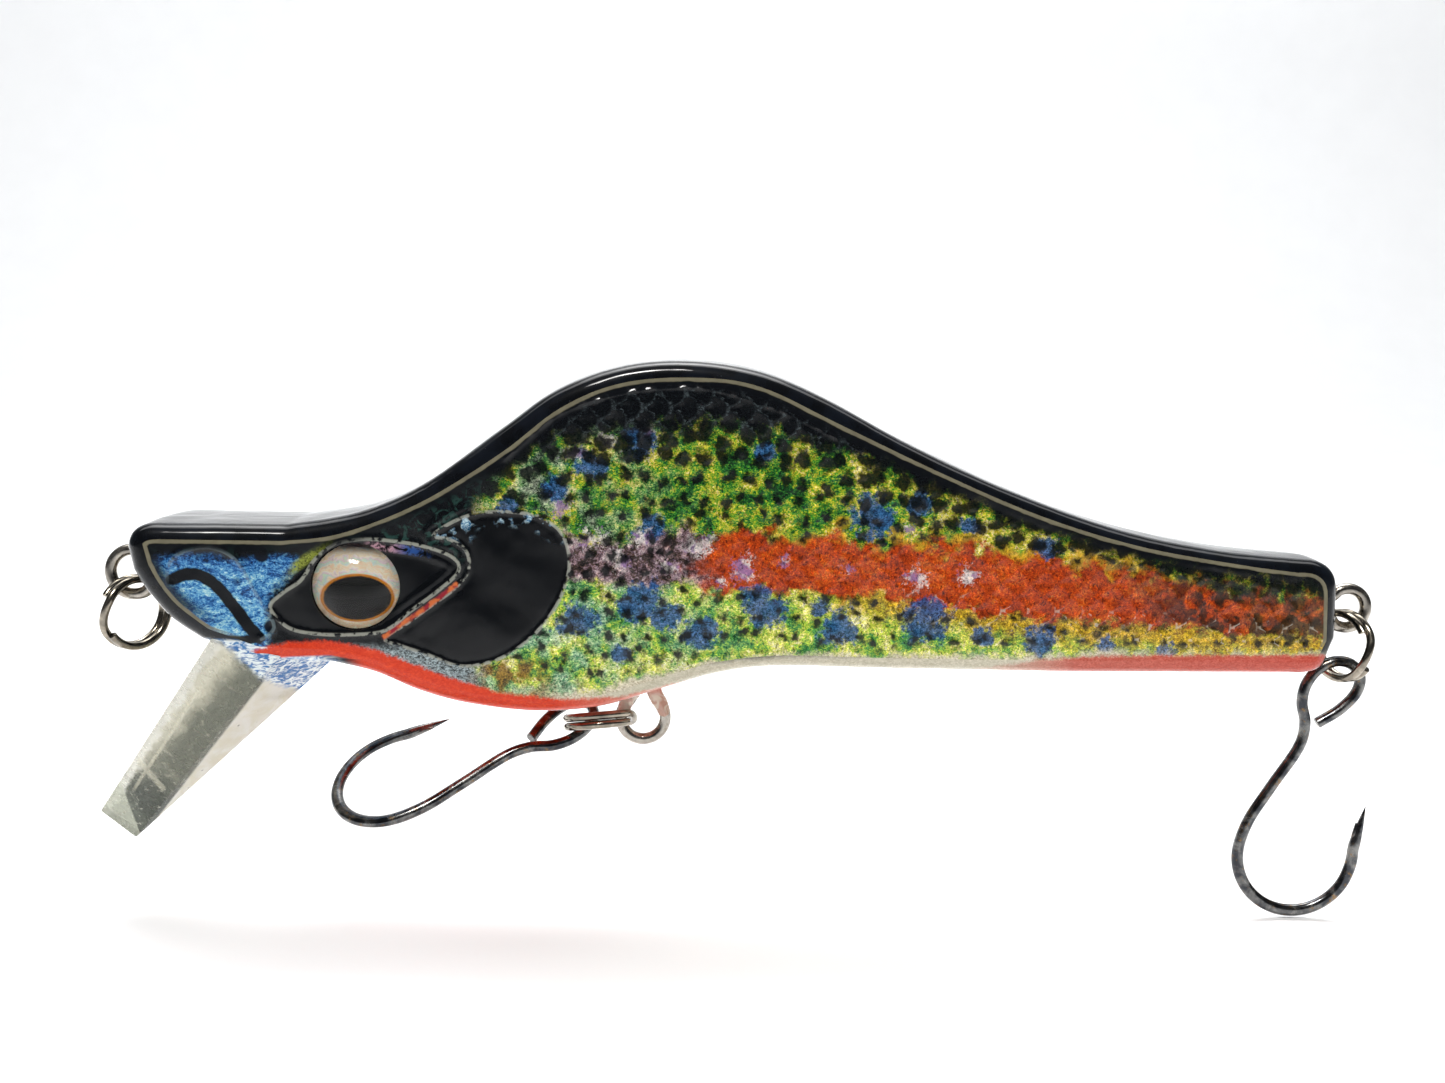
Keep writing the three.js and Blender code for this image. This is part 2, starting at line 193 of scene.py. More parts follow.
# Raised lines and painted fields of the head, in the side view.
GILL_COVER = spline_round([
    (25.9, 4.3), (27.6, 5.5), (29.7, 6.2), (32.3, 6.3), (34.4, 5.9), (36.1, 4.7), (36.8, 2.5), (36.4, 0.1),
    (35.3, -2.1), (33.6, -4.1), (31.5, -5.6), (29.3, -6.3), (27.6, -6.3), (25.5, -5.5), (23.4, -4.8),
    (22.0, -4.2),
    (23.8, -2.9), (25.9, -1.3), (27.6, 0.0), (28.7, 1.5), (28.5, 3.1), (27.2, 4.0)])
EYE_MASK = spline_round([
    (12.9, -1.8), (13.9, -0.6), (15.4, 0.5), (16.5, 2.2), (18.2, 3.5), (20.6, 3.9), (23.4, 3.7), (25.5, 3.3),
    (27.5, 2.5), (27.9, 1.4), (26.4, -0.1), (24.2, -1.8), (22.1, -3.5), (19.6, -3.9), (16.6, -3.9),
    (14.3, -3.4)])
MOUTH_LOOP = spline_through([
    (4.9, -0.1), (5.0, 1.5), (6.1, 2.6), (8.3, 3.0), (10.3, 2.0), (12.0, -1.0), (13.2, -3.3), (12.2, -4.4)])
UPPER_LIP = spline_through([
    (5.3, 0.4), (6.2, 0.8), (7.2, 0.8), (8.1, 0.4), (8.9, -0.3), (9.7, -1.3), (10.5, -2.4), (11.2, -3.4),
    (12.0, -4.3)])
LOWER_LIP = spline_through([(6.6, -3.4), (7.4, -3.8), (8.3, -4.1), (9.4, -4.4), (10.8, -4.5), (12.0, -4.3)])
GILL_RED_LINE = spline_through([(27.7, 0.3), (26.2, -0.9), (24.6, -2.1), (23.2, -3.1), (21.9, -4.1)])
NOSE_BLUE = spline_round([
    (3.7, 1.9), (5.1, 2.3), (7.1, 2.5), (10.0, 2.2), (12.5, 2.3), (14.8, 2.3), (14.4, 0.9), (12.9, -0.9),
    (12.8, -3.0),
    (12.2, -5.6), (9.1, -6.2), (6.6, -4.6), (5.0, -1.6)])
CREST = spline_through([
    (31.6, 10.6), (34.3, 13.1), (36.1, 14.4), (38.3, 15.3), (41.1, 16.1), (43.9, 16.5), (47.1, 16.6),
    (50.3, 16.0),
    (53.1, 15.1), (56.0, 13.9), (60.5, 11.6)])
LOW_CREST = spline_through([(37.4, -4.2), (38.7, -3.7), (40.2, -3.1), (42.6, -2.5), (44.2, -2.5),
                            (44.9, -3.0)])
FOLDS = ((GILL_COVER, True), (EYE_MASK, True), (MOUTH_LOOP, False), (CREST, False), (LOW_CREST, False))

# Patches of the print as centre x and z and radius: blue ones, and white and mauve ones.
BLUE_PATCHES = np.array([
    (37.6, -2.4, 1.9), (42.6, -0.9, 2.0), (44.6, -2.2, 1.6), (41.0, -5.2, 1.1), (47.6, -3.3, 1.7),
    (52.6, -1.2, 2.0),
    (57.4, -1.0, 1.0), (59.2, -2.9, 1.8), (66.2, -2.1, 2.2), (71.0, -3.4, 1.0), (75.8, -3.8, 1.5),
    (81.5, -4.2, 1.1),
    (86.5, -4.4, 0.9), (61.3, 6.4, 2.1), (65.3, 7.6, 1.3), (43.3, 5.3, 1.3), (42.3, 12.2, 1.8),
    (38.4, 10.4, 1.5),
    (35.6, 8.2, 1.2), (52.5, 11.6, 1.0), (75.9, 4.2, 1.2), (69.5, 5.8, 1.0), (31.8, 6.9, 0.9)])
PALE_PATCHES = np.array([
    (38.6, 4.2, 1.5), (40.9, 2.6, 1.3), (42.6, 4.2, 1.2), (44.8, 2.0, 1.0), (47.4, 3.9, 1.4),
    (50.9, 2.0, 1.5),
    (54.2, 2.6, 0.9), (49.0, 0.9, 0.8), (65.3, 1.5, 1.3), (69.6, 1.7, 1.2), (59.5, 2.2, 0.7),
    (42.8, 13.0, 1.2),
    (39.5, 12.4, 1.2), (37.0, 11.2, 1.2), (36.0, 6.8, 1.3), (34.4, 5.6, 0.8), (64.4, 5.4, 0.8)])

# Heights, along the body, of the edges between the print's fields of colour.
EDGES = {
    "dark_edge": ([24, 29.6, 31.2, 35.9, 42.3, 50.4, 58.5, 63.5, 67.7, 72.8, 80.5, 88.2, 94.3, 101],
                  [4.6, 7.6, 9.7, 12.2, 13.0, 13.3, 12.0, 9.9, 8.2, 6.4, 4.2, 2.2, 1.2, 0.6]),
    "orange_top": ([36, 46.5, 55.5, 63.8, 72.1, 80.5, 89.1, 97.8], [3.9, 5.1, 4.9, 4.6, 4.3, 3.2, 1.8, 0.5]),
    "orange_low": ([36, 47.4, 55.7, 64, 72.4, 80.9, 89.5, 99.8],
                   [0.6, 0.2, 0.1, -0.5, -1.7, -2.4, -2.9, -3.3]),
    "cream_edge": ([24, 28.8, 31.3, 39.4, 43.5, 47.6, 55.8, 64.2, 72.6, 81, 101],
                   [-7.4, -8.5, -8.8, -8.3, -7.0, -5.9, -5.2, -5.1, -5.0, -4.7, -4.6]),
    "red_edge": ([9.5, 12.2, 14.4, 17.6, 20.8, 24, 27.2, 31.3, 36.2, 41, 46, 52, 70, 76, 81, 90, 101],
                 [-6.3, -5.1, -4.65, -4.45, -5.0, -6.2, -7.4, -8.6, -9.1, -8.9, -7.7, -6.6, -6.3, -5.3,
                  -4.9, -4.7,
                  -4.6]),
}
RED_STRENGTH = ([9, 11, 36, 46, 54, 70, 79, 101], [0, 1, 1, 0.45, 0.06, 0.06, 0.9, 1])


def half_width(x):
    return NOSE_HALF_WIDTH - FLANK_SLOPE * (x - NOSE_X)


def scale_rows(points, size):
    """Overlapping fish scales: 0 at each scale's front, rising to 1 at its free rear edge."""
    column = np.floor(points[:, 0] / size)
    best = np.zeros(len(points))
    done = np.zeros(len(points), bool)
    for back in range(3):
        c = column + 1 - back
        shift = (c % 2) * size
        row = np.round((points[:, 1] - shift) / (2 * size))
        gap = np.hypot(points[:, 0] - (c - 1) * size, points[:, 1] - shift - row * 2 * size) / size
        hit = (gap < 1) & ~done
        best[hit] = gap[hit]
        done |= hit
    return best


def patches(points, centres):
    """1 at the centre of the nearest patch, 0 at its rim and less beyond it."""
    gap = np.hypot(points[:, 0, None] - centres[:, 0], (points[:, 1, None] - centres[:, 1]) * 1.1)
    return (1 - gap / centres[:, 2]).max(1)


def relief(points, film, gill, mask, loop):
    """Height of the flank's raised detail under the clear coat."""
    x, z = points[:, 0], points[:, 1]
    waves = 0.035 * np.sin(x / 3.3 + z / 5.1) + 0.03 * np.sin(x / 6.1 - z / 2.3 + 1)
    waves += 0.02 * np.sin(x / 1.7 + z)
    ridge = lambda d, width: np.exp(-(d / width) ** 2)
    crinkle = 0.75 + 0.25 * np.sin(x * 6.1) * np.sin(z * 7.3 + x * 2.9)
    head = 0.16 * crinkle * ridge(gill, 0.2) + 0.1 * ridge(gill + 0.65, 0.2) + 0.05 * smooth(gill, 0, 0.8)
    head += 0.14 * crinkle * ridge(mask, 0.18) + 0.09 * ridge(mask - 0.75, 0.18) * smooth(x, 18, 25)
    head += 0.14 * ridge(loop, 0.2)
    beads = 0.35 + 0.65 * np.abs(np.sin(x * 2.3) * np.sin(x * 0.83 + 1))
    head += 0.15 * beads * ridge(distance_to(points, CREST), 0.15)
    head += 0.13 * beads * ridge(distance_to(points, LOW_CREST), 0.13)
    zone = smooth(film, 1.0, 1.5) * smooth(x, 30, 36) * smooth(-gill, 0.4, 1.0)
    scales = zone * (0.03 + 0.07 * scale_rows(points, 1.15))
    return (waves + head + scales) * smooth(film, -1.2, 0.6)


def edge_drop(depth):
    """How far the flank has fallen back at a distance in from the body's outline."""
    d = np.clip(EDGE_ROUND - depth, 0, EDGE_ROUND)
    return EDGE_ROUND - np.sqrt(np.maximum(EDGE_ROUND ** 2 - d ** 2, 0))


# ---------------------------------------------------------------- meshes
def piece(name, points, faces, material, body, replaces=(), sharp=38, attributes=None):
    """One finished visible piece, from millimetres."""
    mesh = bpy.data.meshes.new(name)
    mesh.from_pydata([tuple(p) for p in np.asarray(points) * MM], [], [tuple(f) for f in faces])
    for key, values in (attributes or {}).items():
        layer = mesh.attributes.new(key, "FLOAT", "POINT")
        layer.data.foreach_set("value", np.asarray(values, np.float32))
    mesh.shade_smooth()
    mesh.set_sharp_from_angle(angle=math.radians(sharp))
    mesh.materials.append(material)
    obj = bpy.data.objects.new(name, mesh)
    bpy.context.scene.collection.objects.link(obj)
    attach(obj, body)
    if replaces:
        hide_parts(*replaces)
    return obj


def triangulate(loops, extra):
    """A conforming triangle mesh of the area within the first loop."""
    points = [Vector(p) for loop in loops for p in loop]
    edges = []
    start = 0
    for loop in loops:
        count = len(loop)
        edges += [(start + i, start + (i + 1) % count) for i in range(count)]
        start += count
    points += [Vector(p) for p in extra]
    verts, _, faces, _, _, _ = delaunay_2d_cdt(points, edges, [], 1, 1e-7)
    return np.array([(v.x, v.y) for v in verts]), np.array([tuple(f) for f in faces])


def normals_of(loop):
    """Outward normals of a loop that runs clockwise."""
    along = np.roll(loop, -1, 0) - np.roll(loop, 1, 0)
    along /= np.linalg.norm(along, axis=1)[:, None]
    return np.stack([-along[:, 1], along[:, 0]], axis=1)


def rows_beside(path, offsets, spacing, closed):
    """Points in rows beside a line, to carry a fold of the surface."""
    line = resample(path, spacing, closed)
    normal = normals_of(line)
    return np.vstack([line + normal * offset for offset in offsets])


def flank():
    """The left flank's points in the side view, its triangles, and what lies where."""
    outline = resample(body_outline(), GRID)
    film = resample(film_outline(), GRID)
    turn = np.linspace(0, 2 * math.pi, 90, endpoint=False)
    eye = EYE + (EYE_R + 0.12) * np.stack([np.cos(turn), np.sin(turn)], 1)
    depths = EDGE_ROUND * (1 - np.sin(np.radians([80, 66, 52, 38, 24, 8])))
    rows = np.vstack([outline - normals_of(outline) * depth for depth in depths])
    reach = np.repeat(depths, len(outline))
    rows = rows[np.abs(distance_to(rows, outline, True) - reach) < 0.02 + reach * 0.1]
    step = GRID * 0.866
    columns = [np.stack([np.full(400, x), -11 + GRID * (np.arange(400) + (i % 2) / 2)], 1)
               for i, x in enumerate(np.arange(NOSE_X, 102, step))]
    grid = np.vstack(columns)
    grid = grid[grid[:, 1] < 19]
    grid = grid[inside(grid, outline)]
    grid = grid[distance_to(grid, outline, True) > EDGE_ROUND]
    folds = np.vstack([rows_beside(line, (-0.3, -0.15, 0, 0.15, 0.3), GRID, closed)
                       for line, closed in FOLDS])
    near_fold = np.zeros(len(grid), bool)
    for line, closed in FOLDS:
        near_fold |= distance_to(grid, line, closed) < 0.4
    free = np.vstack([rows, grid[~near_fold], folds])
    free = free[distance_to(free, film, True) > 0.45 * GRID]
    free = free[np.hypot(*(free - EYE).T) > EYE_R + 0.12 + 0.4 * GRID]
    points, faces = triangulate([outline, film, eye], free)
    centres = points[faces].mean(1)
    in_eye = np.hypot(*(centres - EYE).T) < EYE_R + 0.12
    in_film = inside(centres, film)
    return points, faces, in_film & ~in_eye, ~in_film, outline, film, eye


def describe(points, film_loop):
    """Signed distances and heights that the finishes read."""
    x, z = points[:, 0], points[:, 1]
    data = {"film": signed_distance(points, film_loop), "gill": signed_distance(points, GILL_COVER),
            "mask": signed_distance(points, EYE_MASK), "loop": distance_to(points, MOUTH_LOOP),
            "blue": signed_distance(points, NOSE_BLUE)}
    data["lips"] = np.minimum(distance_to(points, UPPER_LIP) - 0.5, distance_to(points, LOWER_LIP) - 0.36)
    data["gill_red"] = distance_to(points, GILL_RED_LINE)
    for name, (xs, zs) in EDGES.items():
        data[name] = z - np.interp(x, xs, zs)
    data["red_amount"] = np.interp(x, *RED_STRENGTH)
    data["scales"] = scale_rows(points, 1.15)
    data["blue_patch"] = patches(points, BLUE_PATCHES)
    data["pale_patch"] = patches(points, PALE_PATCHES)
    return data


def compact(faces):
    """Renumbers faces so that they use only their own points."""
    used, index = np.unique(faces, return_inverse=True)
    return used, index.reshape(faces.shape)


def loop_index(points, loop):
    """Where each of a loop's points is in a longer list."""
    tree = KDTree(len(points))
    for i, (x, z) in enumerate(points):
        tree.insert((x, z, 0), i)
    tree.balance()
    return np.array([tree.find((x, z, 0))[1] for x, z in loop])


def quads(rows_a, rows_b):
    count = len(rows_a)
    return [(rows_a[i], rows_b[i], rows_b[(i + 1) % count], rows_a[(i + 1) % count]) for i in range(count)]


def side_pieces(side, name, surface, materials):
    """The film and the body half of one side. Side -1 is the left."""
    points, faces, film_faces, shell_faces, outline, film_loop, eye_loop, data, height = surface
    turn = 1 if side < 0 else -1

    def place(flat, out):
        return np.stack([flat[:, 0], side * out, flat[:, 1]], axis=1)

    def wind(face_list):
        return [f[::turn] for f in face_list]

    # film: outer face, inner face and rim
    used, index = compact(faces[film_faces])
    flat, out = points[used], height[used]
    count = len(used)
    both = np.vstack([place(flat, out), place(flat, out - FILM)])
    rim = []
    for loop in (film_loop, eye_loop):
        ids = loop_index(flat, loop)
        rim += quads(ids, ids + count)
    face_list = wind(index.tolist()) + wind((index[:, ::-1] + count).tolist()) + wind(rim)
    attributes = {key: np.r_[values[used], values[used]] for key, values in data.items()}
    film = piece(f"{name}_film", both, face_list, materials["print"], "lure_body",
                 [f"{name}_print_film"], attributes=attributes)
    fix_normals(film)

    # body half: the border of the flank, the rounded edge and back, a floor under the film
    used, index = compact(faces[shell_faces])
    flat, out = points[used], height[used]
    verts = [place(flat, out)]
    face_list = index.tolist()
    outer = loop_index(flat, outline)
    inner = loop_index(flat, film_loop)
    base = len(used)
    attribute_points = [flat]
    edge_out = half_width(outline[:, 0]) - EDGE_ROUND
    previous = outer
    normal = normals_of(outline)
    steps = 7
    for k in range(1, steps + 1):
        share = k / steps
        ripple = 0.03 * np.sin(outline[:, 0] / 2.7 + share * 2) * share
        crown = 0.12 * (1 - (1 - share) ** 2)
        flat_k = outline + normal * (crown + ripple)[:, None]
        verts.append(place(flat_k, edge_out * (1 - share)))
        attribute_points.append(flat_k)
        ids = base + np.arange(len(outline))
        face_list += quads(previous, ids)
        previous = ids
        base += len(outline)
    middle, middle_faces = triangulate([outline], [])
    order = loop_index(middle, outline)
    lookup = np.zeros(len(middle), int)
    lookup[order] = previous
    face_list += lookup[middle_faces][:, ::-1].tolist()
    floor_points, floor_faces = triangulate([film_loop, eye_loop], [])
    centres = floor_points[floor_faces].mean(1)
    floor_faces = floor_faces[np.hypot(*(centres - EYE).T) > EYE_R + 0.1]
    floor_out = half_width(floor_points[:, 0]) - FILM - 0.35
    verts.append(place(floor_points, floor_out))
    attribute_points.append(floor_points)
    floor_rim = loop_index(floor_points, film_loop) + base
    face_list += quads(inner, floor_rim)
    socket_rim = loop_index(floor_points, eye_loop) + base
    face_list += (floor_faces + base).tolist()
    base += len(floor_points)
    verts.append(place(eye_loop, half_width(eye_loop[:, 0]) - SOCKET_DEPTH - 0.3))
    attribute_points.append(eye_loop)
    bottom = np.arange(len(eye_loop)) + base
    face_list += quads(socket_rim, bottom)
    face_list.append(tuple(bottom))
    flat_all = np.vstack(attribute_points)
    shell = piece(f"{name}_shell", np.vstack(verts), wind(face_list), materials["lacquer"], "lure_body",
                  [f"{name}_body_half"], attributes=describe(flat_all, film_loop))
    fix_normals(shell)


def fix_normals(obj):
    """Turns every face of a closed piece outwards."""
    bm = bmesh.new()
    bm.from_mesh(obj.data)
    bmesh.ops.recalc_face_normals(bm, faces=bm.faces)
    bm.to_mesh(obj.data)
    bm.free()


def body(materials):
    points, faces, film_faces, shell_faces, outline, film_loop, eye_loop = flank()
    data = describe(points, film_loop)
    depth = signed_distance(points, outline)
    height = half_width(points[:, 0]) - edge_drop(depth)
    height += relief(points, data["film"], data["gill"], data["mask"], data["loop"])
    surface = (points, faces, film_faces, shell_faces, outline, film_loop, eye_loop, data, height)
    for side, name in ((-1, "left"), (1, "right")):
        side_pieces(side, name, surface, materials)


# ---------------------------------------------------------------- wires, rings and hooks
def wire_curve(points, steps=8):
    """Points on a centripetal Catmull-Rom curve, evenly many between each two given ones."""
    pts = np.array(points, float)
    pts = np.vstack([2 * pts[0] - pts[1], pts, 2 * pts[-1] - pts[-2]])
    t = (np.arange(steps) / steps)[:, None]
    rows = []
    for a, b, c, d in zip(pts, pts[1:], pts[2:], pts[3:]):
        d0, d1, d2 = (max(np.linalg.norm(q - p) ** 0.5, 1e-4) for p, q in ((a, b), (b, c), (c, d)))
        v0 = ((b - a) / d0 - (c - a) / (d0 + d1) + (c - b) / d1) * d1
        v1 = ((c - b) / d1 - (d - b) / (d1 + d2) + (d - c) / d2) * d1
        rows.append(b + v0 * t + (3 * c - 3 * b - 2 * v0 - v1) * t ** 2 + (2 * b - 2 * c + v0 + v1) * t ** 3)
    return np.vstack(rows + [pts[-2:-1]])


def sweep(path, radius, sides=20, flatten=None, across=(0, 1, 0)):
    """A round bar along a path. flatten squeezes it along the direction across."""
    path = np.asarray(path, float)
    radius = np.broadcast_to(np.asarray(radius, float), len(path)).copy()
    flatten = np.ones(len(path)) if flatten is None else flatten
    tangent = np.gradient(path, axis=0)
    tangent /= np.linalg.norm(tangent, axis=1)[:, None]
    turn = np.linspace(0, 2 * math.pi, sides, endpoint=False)
    rings = []
    side = np.array(across, float)
    for p, t, r, f in zip(path, tangent, radius, flatten):
        side = side - t * side.dot(t)
        side /= np.linalg.norm(side)
        up = np.cross(t, side)
        rings.append(p + r * (f * np.cos(turn)[:, None] * side + np.sin(turn)[:, None] * up))
    soft = min(0.12, 0.4 * radius[0])
    first = rings[0] * (1 - soft / radius[0]) + path[0] * soft / radius[0] - tangent[0] * 0.06
    tip = min(0.06, 0.4 * radius[-1])
    last = rings[-1] * (1 - tip / radius[-1]) + path[-1] * tip / radius[-1] + tangent[-1] * tip
    rings = [first] + rings + [last]
    verts = np.vstack(rings + [[path[0] - tangent[0] * 0.07], [path[-1] + tangent[-1] * (tip + 0.01)]])
    faces = []
    for k in range(len(rings) - 1):
        faces += quads(np.arange(sides) + k * sides, np.arange(sides) + (k + 1) * sides)
    start, end = len(verts) - 2, len(verts) - 1
    last_row = (len(rings) - 1) * sides
    faces += [((i + 1) % sides, i, start) for i in range(sides)]
    faces += [(last_row + i, last_row + (i + 1) % sides, end) for i in range(sides)]
    return verts, faces


def eye_points(eye, start, end, count):
    x, z, r = eye
    angle = np.radians(np.linspace(start, end, count))
    return [(x + r * math.cos(a), 0, z + r * math.sin(a)) for a in angle]


def through_wire_path():
    slope = TAIL_EYE[1] / TAIL_EYE[0]
    under = lambda x: (x, 0, slope * x - NOSE_LEG)
    over = lambda x: (x, 0, slope * x + NOSE_LEG)
    return [under(13), under(8), under(3.6), *eye_points(NOSE_EYE, 325, 35, 11),
            over(3.6), over(8), over(30), over(75), over(97), over(100.2),
            *eye_points(TAIL_EYE, 145, -145, 11), under(100.2), under(97), under(92)]


def hanger_path():
    x = BELLY_EYE[0]
    left = [(x - NOSE_LEG, 0, z) for z in (-3, -7, -8.9)]
    right = [(x + NOSE_LEG, 0, z) for z in (-8.9, -7, -3)]
    return left + eye_points(BELLY_EYE, 125, 415, 11) + right


def placed(points, position, turns):
    """Points moved from a piece's own frame: turned about Z, then X, then Y, and shifted."""
    x, y, z = (math.radians(a) for a in turns)
    matrix = Matrix.Rotation(y, 3, "Y") @ Matrix.Rotation(x, 3, "X") @ Matrix.Rotation(z, 3, "Z")
    return np.asarray(points) @ np.array(matrix).T + np.array(position)


def split_ring():
    degrees = np.linspace(34, 686, 150)
    lift = smooth(degrees, 328, 392) - 0.5
    angle = np.radians(degrees)
    path = np.stack([RING_R * np.cos(angle), RING_PITCH * lift, RING_R * np.sin(angle)], 1)
    return sweep(path, RING_WIRE_R, 16, across=(0, 1, 0))


def hook():
    """A single hook: open eye, kinked shank, bend forged slightly flat, tapered point, and its barb."""
    bend = (-2.8, -15.9, 5.15)
    shank = [(-1.75, -3.95), (0.2, -2.65), (1.5, -1.1), (1.7, 0.2), (0.9, 1.3), (-0.5, 1.6), (-2.0, 0.9),
             (-3.0, -0.5), (-3.25, -2.1), (-2.85, -3.9), (-3.1, -5.8), (-5.5, -9.9), (-7.3, -13.1)]
    shank = [(x, 0, z) for x, z in shank] + eye_points(bend, 178, 350, 9) + [(2.42, 0, -15.2)]
    path = wire_curve(shank, 7)
    tip = np.array([3.2, 0, -11.4])
    share = np.linspace(0, 1, 26)[1:, None]
    leg = path[-1] + (tip - path[-1]) * share
    radius = np.r_[np.full(len(path), HOOK_R), HOOK_R * (1 - share[:, 0] ** 1.5) + 0.012]
    path = np.vstack([path, leg])
    forged = smooth(-path[:, 2], 14.5, 17.5)
    verts, faces = sweep(path, radius * (1 + 0.1 * forged), 20, flatten=1 - 0.22 * forged)
    barb_path = np.array([(2.5, 0, -13.0), (2.45, 0, -13.9), (2.22, 0, -14.8), (1.95, 0, -15.35)])
    barb_verts, barb_faces = sweep(barb_path, [0.1, 0.26, 0.16, 0.03], 12, flatten=np.array([1, 1, 0.9, 0.8]))
    return verts, faces, barb_verts, barb_faces


def joined(obj, verts, faces):
    """Joins a second closed shape, in millimetres, into a piece."""
    mesh = bpy.data.meshes.new("joined")
    mesh.from_pydata([tuple(v) for v in np.asarray(verts) * MM], [], [tuple(f) for f in faces])
    other = bpy.data.objects.new("joined", mesh)
    bpy.context.scene.collection.objects.link(other)
    union = obj.modifiers.new("join", "BOOLEAN")
    union.operation, union.object, union.solver = "UNION", other, "EXACT"
    depsgraph = bpy.context.evaluated_depsgraph_get()
    result = bpy.data.meshes.new_from_object(obj.evaluated_get(depsgraph))
    obj.modifiers.clear()
    obj.data = result
    result.shade_smooth()
    result.set_sharp_from_angle(angle=math.radians(38))
    bpy.data.objects.remove(other)


def hardware(materials):
    steel, ring_steel, hook_steel = (materials[k] for k in ("stainless", "ring_steel", "hook_steel"))
    verts, faces = sweep(wire_curve(through_wire_path()), WIRE_R, 24)
    piece("drawn_through_wire", verts, faces, steel, "lure_body", ["through_wire"])
    verts, faces = sweep(wire_curve(hanger_path()), WIRE_R, 24)
    piece("drawn_hanger", verts, faces, steel, "lure_body", ["belly_hanger"])
    rings = {"nose": ((0, 0, -3.45), (0, 0, -126.2)), "belly": ((39.25, 0, -12.1), (76, -6, 0)),
             "tail": ((103.42, 0, -4.4), (0, 0, -68))}
    for name, (position, turns) in rings.items():
        verts, faces = split_ring()
        piece(f"{name}_coils", placed(verts, position, turns), faces, ring_steel, f"{name}_ring",
              [f"{name}_split_ring"])
    hooks = {"belly": ((37.0, 1.5, -12.1), (1.7, 75.8, 116.9)), "tail": ((103.55, 0, -7.4), (0, 0, 0))}
    for name, (position, turns) in hooks.items():
        verts, faces, barb_verts, barb_faces = hook()
        obj = piece(f"{name}_single_hook", placed(verts, position, turns), faces, hook_steel,
                    f"{name}_hook", [f"{name}_hook"])
        joined(obj, placed(barb_verts, position, turns), barb_faces)


# ---------------------------------------------------------------- epoxy
def sleeve(name, path, radii, material, outline):
    """A lumpy coat of epoxy around a length of wire."""
    curve = wire_curve(path)
    radius = np.interp(np.linspace(0, 1, len(curve)), np.linspace(0, 1, len(radii)), radii)
    verts, faces = sweep(curve, radius, 28)
    verts[:, 1] *= 1.04 + 0.08 * np.sin(verts[:, 2] * 4.1 + verts[:, 0] * 5)
    verts[:, 2] += 0.07 * np.sin(verts[:, 0] * 6.3 + verts[:, 1] * 3)
    obj = piece(name, verts, faces, material, "lure_body",
                attributes=describe(verts[:, [0, 2]], outline))
    fix_normals(obj)


def epoxy(materials):
    """Epoxy where the wires leave the body: at the nose, at the tail and round the belly eye."""
    film = resample(film_outline(), GRID)
    lacquer = materials["lacquer"]
    sleeve("nose_epoxy", [(2.6, 0, 1.2), (2.1, 0, 1.0), (1.6, 0, 0.8), (1.2, 0, 0.7)], (1.3, 1.25, 0.95, 0.6),
           lacquer, film)
    neck = BELLY_EYE[0]
    for name, step in (("front", -1), ("rear", 1)):
        sleeve(f"{name}_neck_epoxy", [(neck + step * 0.6, 0, -8.6), (neck + step * 0.95, 0, -9.6),
                                      (neck + step * 1.45, 0, -10.5), (neck + step * 1.85, 0, -11.5)],
               (0.78, 0.7, 0.62, 0.53), materials["neck_coat"], film)
    sleeve("tail_epoxy", [(100.6, 0, -1.9), (101.3, 0, -1.9), (101.9, 0, -1.9), (102.3, 0, -1.8)],
           (1.9, 1.75, 1.3, 0.55), lacquer, film)


# ---------------------------------------------------------------- eyes
def on_flank(points, side):
    """Points given as (along, out, up) from the eye's centre on the flank."""
    normal = np.array([FLANK_SLOPE, side, 0]) / math.hypot(FLANK_SLOPE, 1)
    along = np.array([1, -side * FLANK_SLOPE, 0]) / math.hypot(FLANK_SLOPE, 1)
    centre = np.array([EYE[0], side * half_width(EYE[0]), EYE[1]])
    return centre + points[:, :1] * along + points[:, 1:2] * normal + points[:, 2:3] * np.array([0, 0, 1.0])


def turned(profile, sides):
    """A closed shape of revolution about the out axis, from (radius, out) pairs."""
    angle = np.linspace(0, 2 * math.pi, sides, endpoint=False)
    rings = [np.stack([r * np.cos(angle), np.full(sides, out), r * np.sin(angle)], 1)
             for r, out in profile[1:-1]]
    verts = np.vstack([[[0, profile[0][1], 0]]] + rings + [[[0, profile[-1][1], 0]]])
    faces = [(0, 1 + i, 1 + (i + 1) % sides) for i in range(sides)]
    for k in range(len(rings) - 1):
        faces += quads(np.arange(sides) + 1 + k * sides, np.arange(sides) + 1 + (k + 1) * sides)
    last = 1 + (len(rings) - 1) * sides
    faces += [(last + i, len(verts) - 1, last + (i + 1) % sides) for i in range(sides)]
    return verts, faces


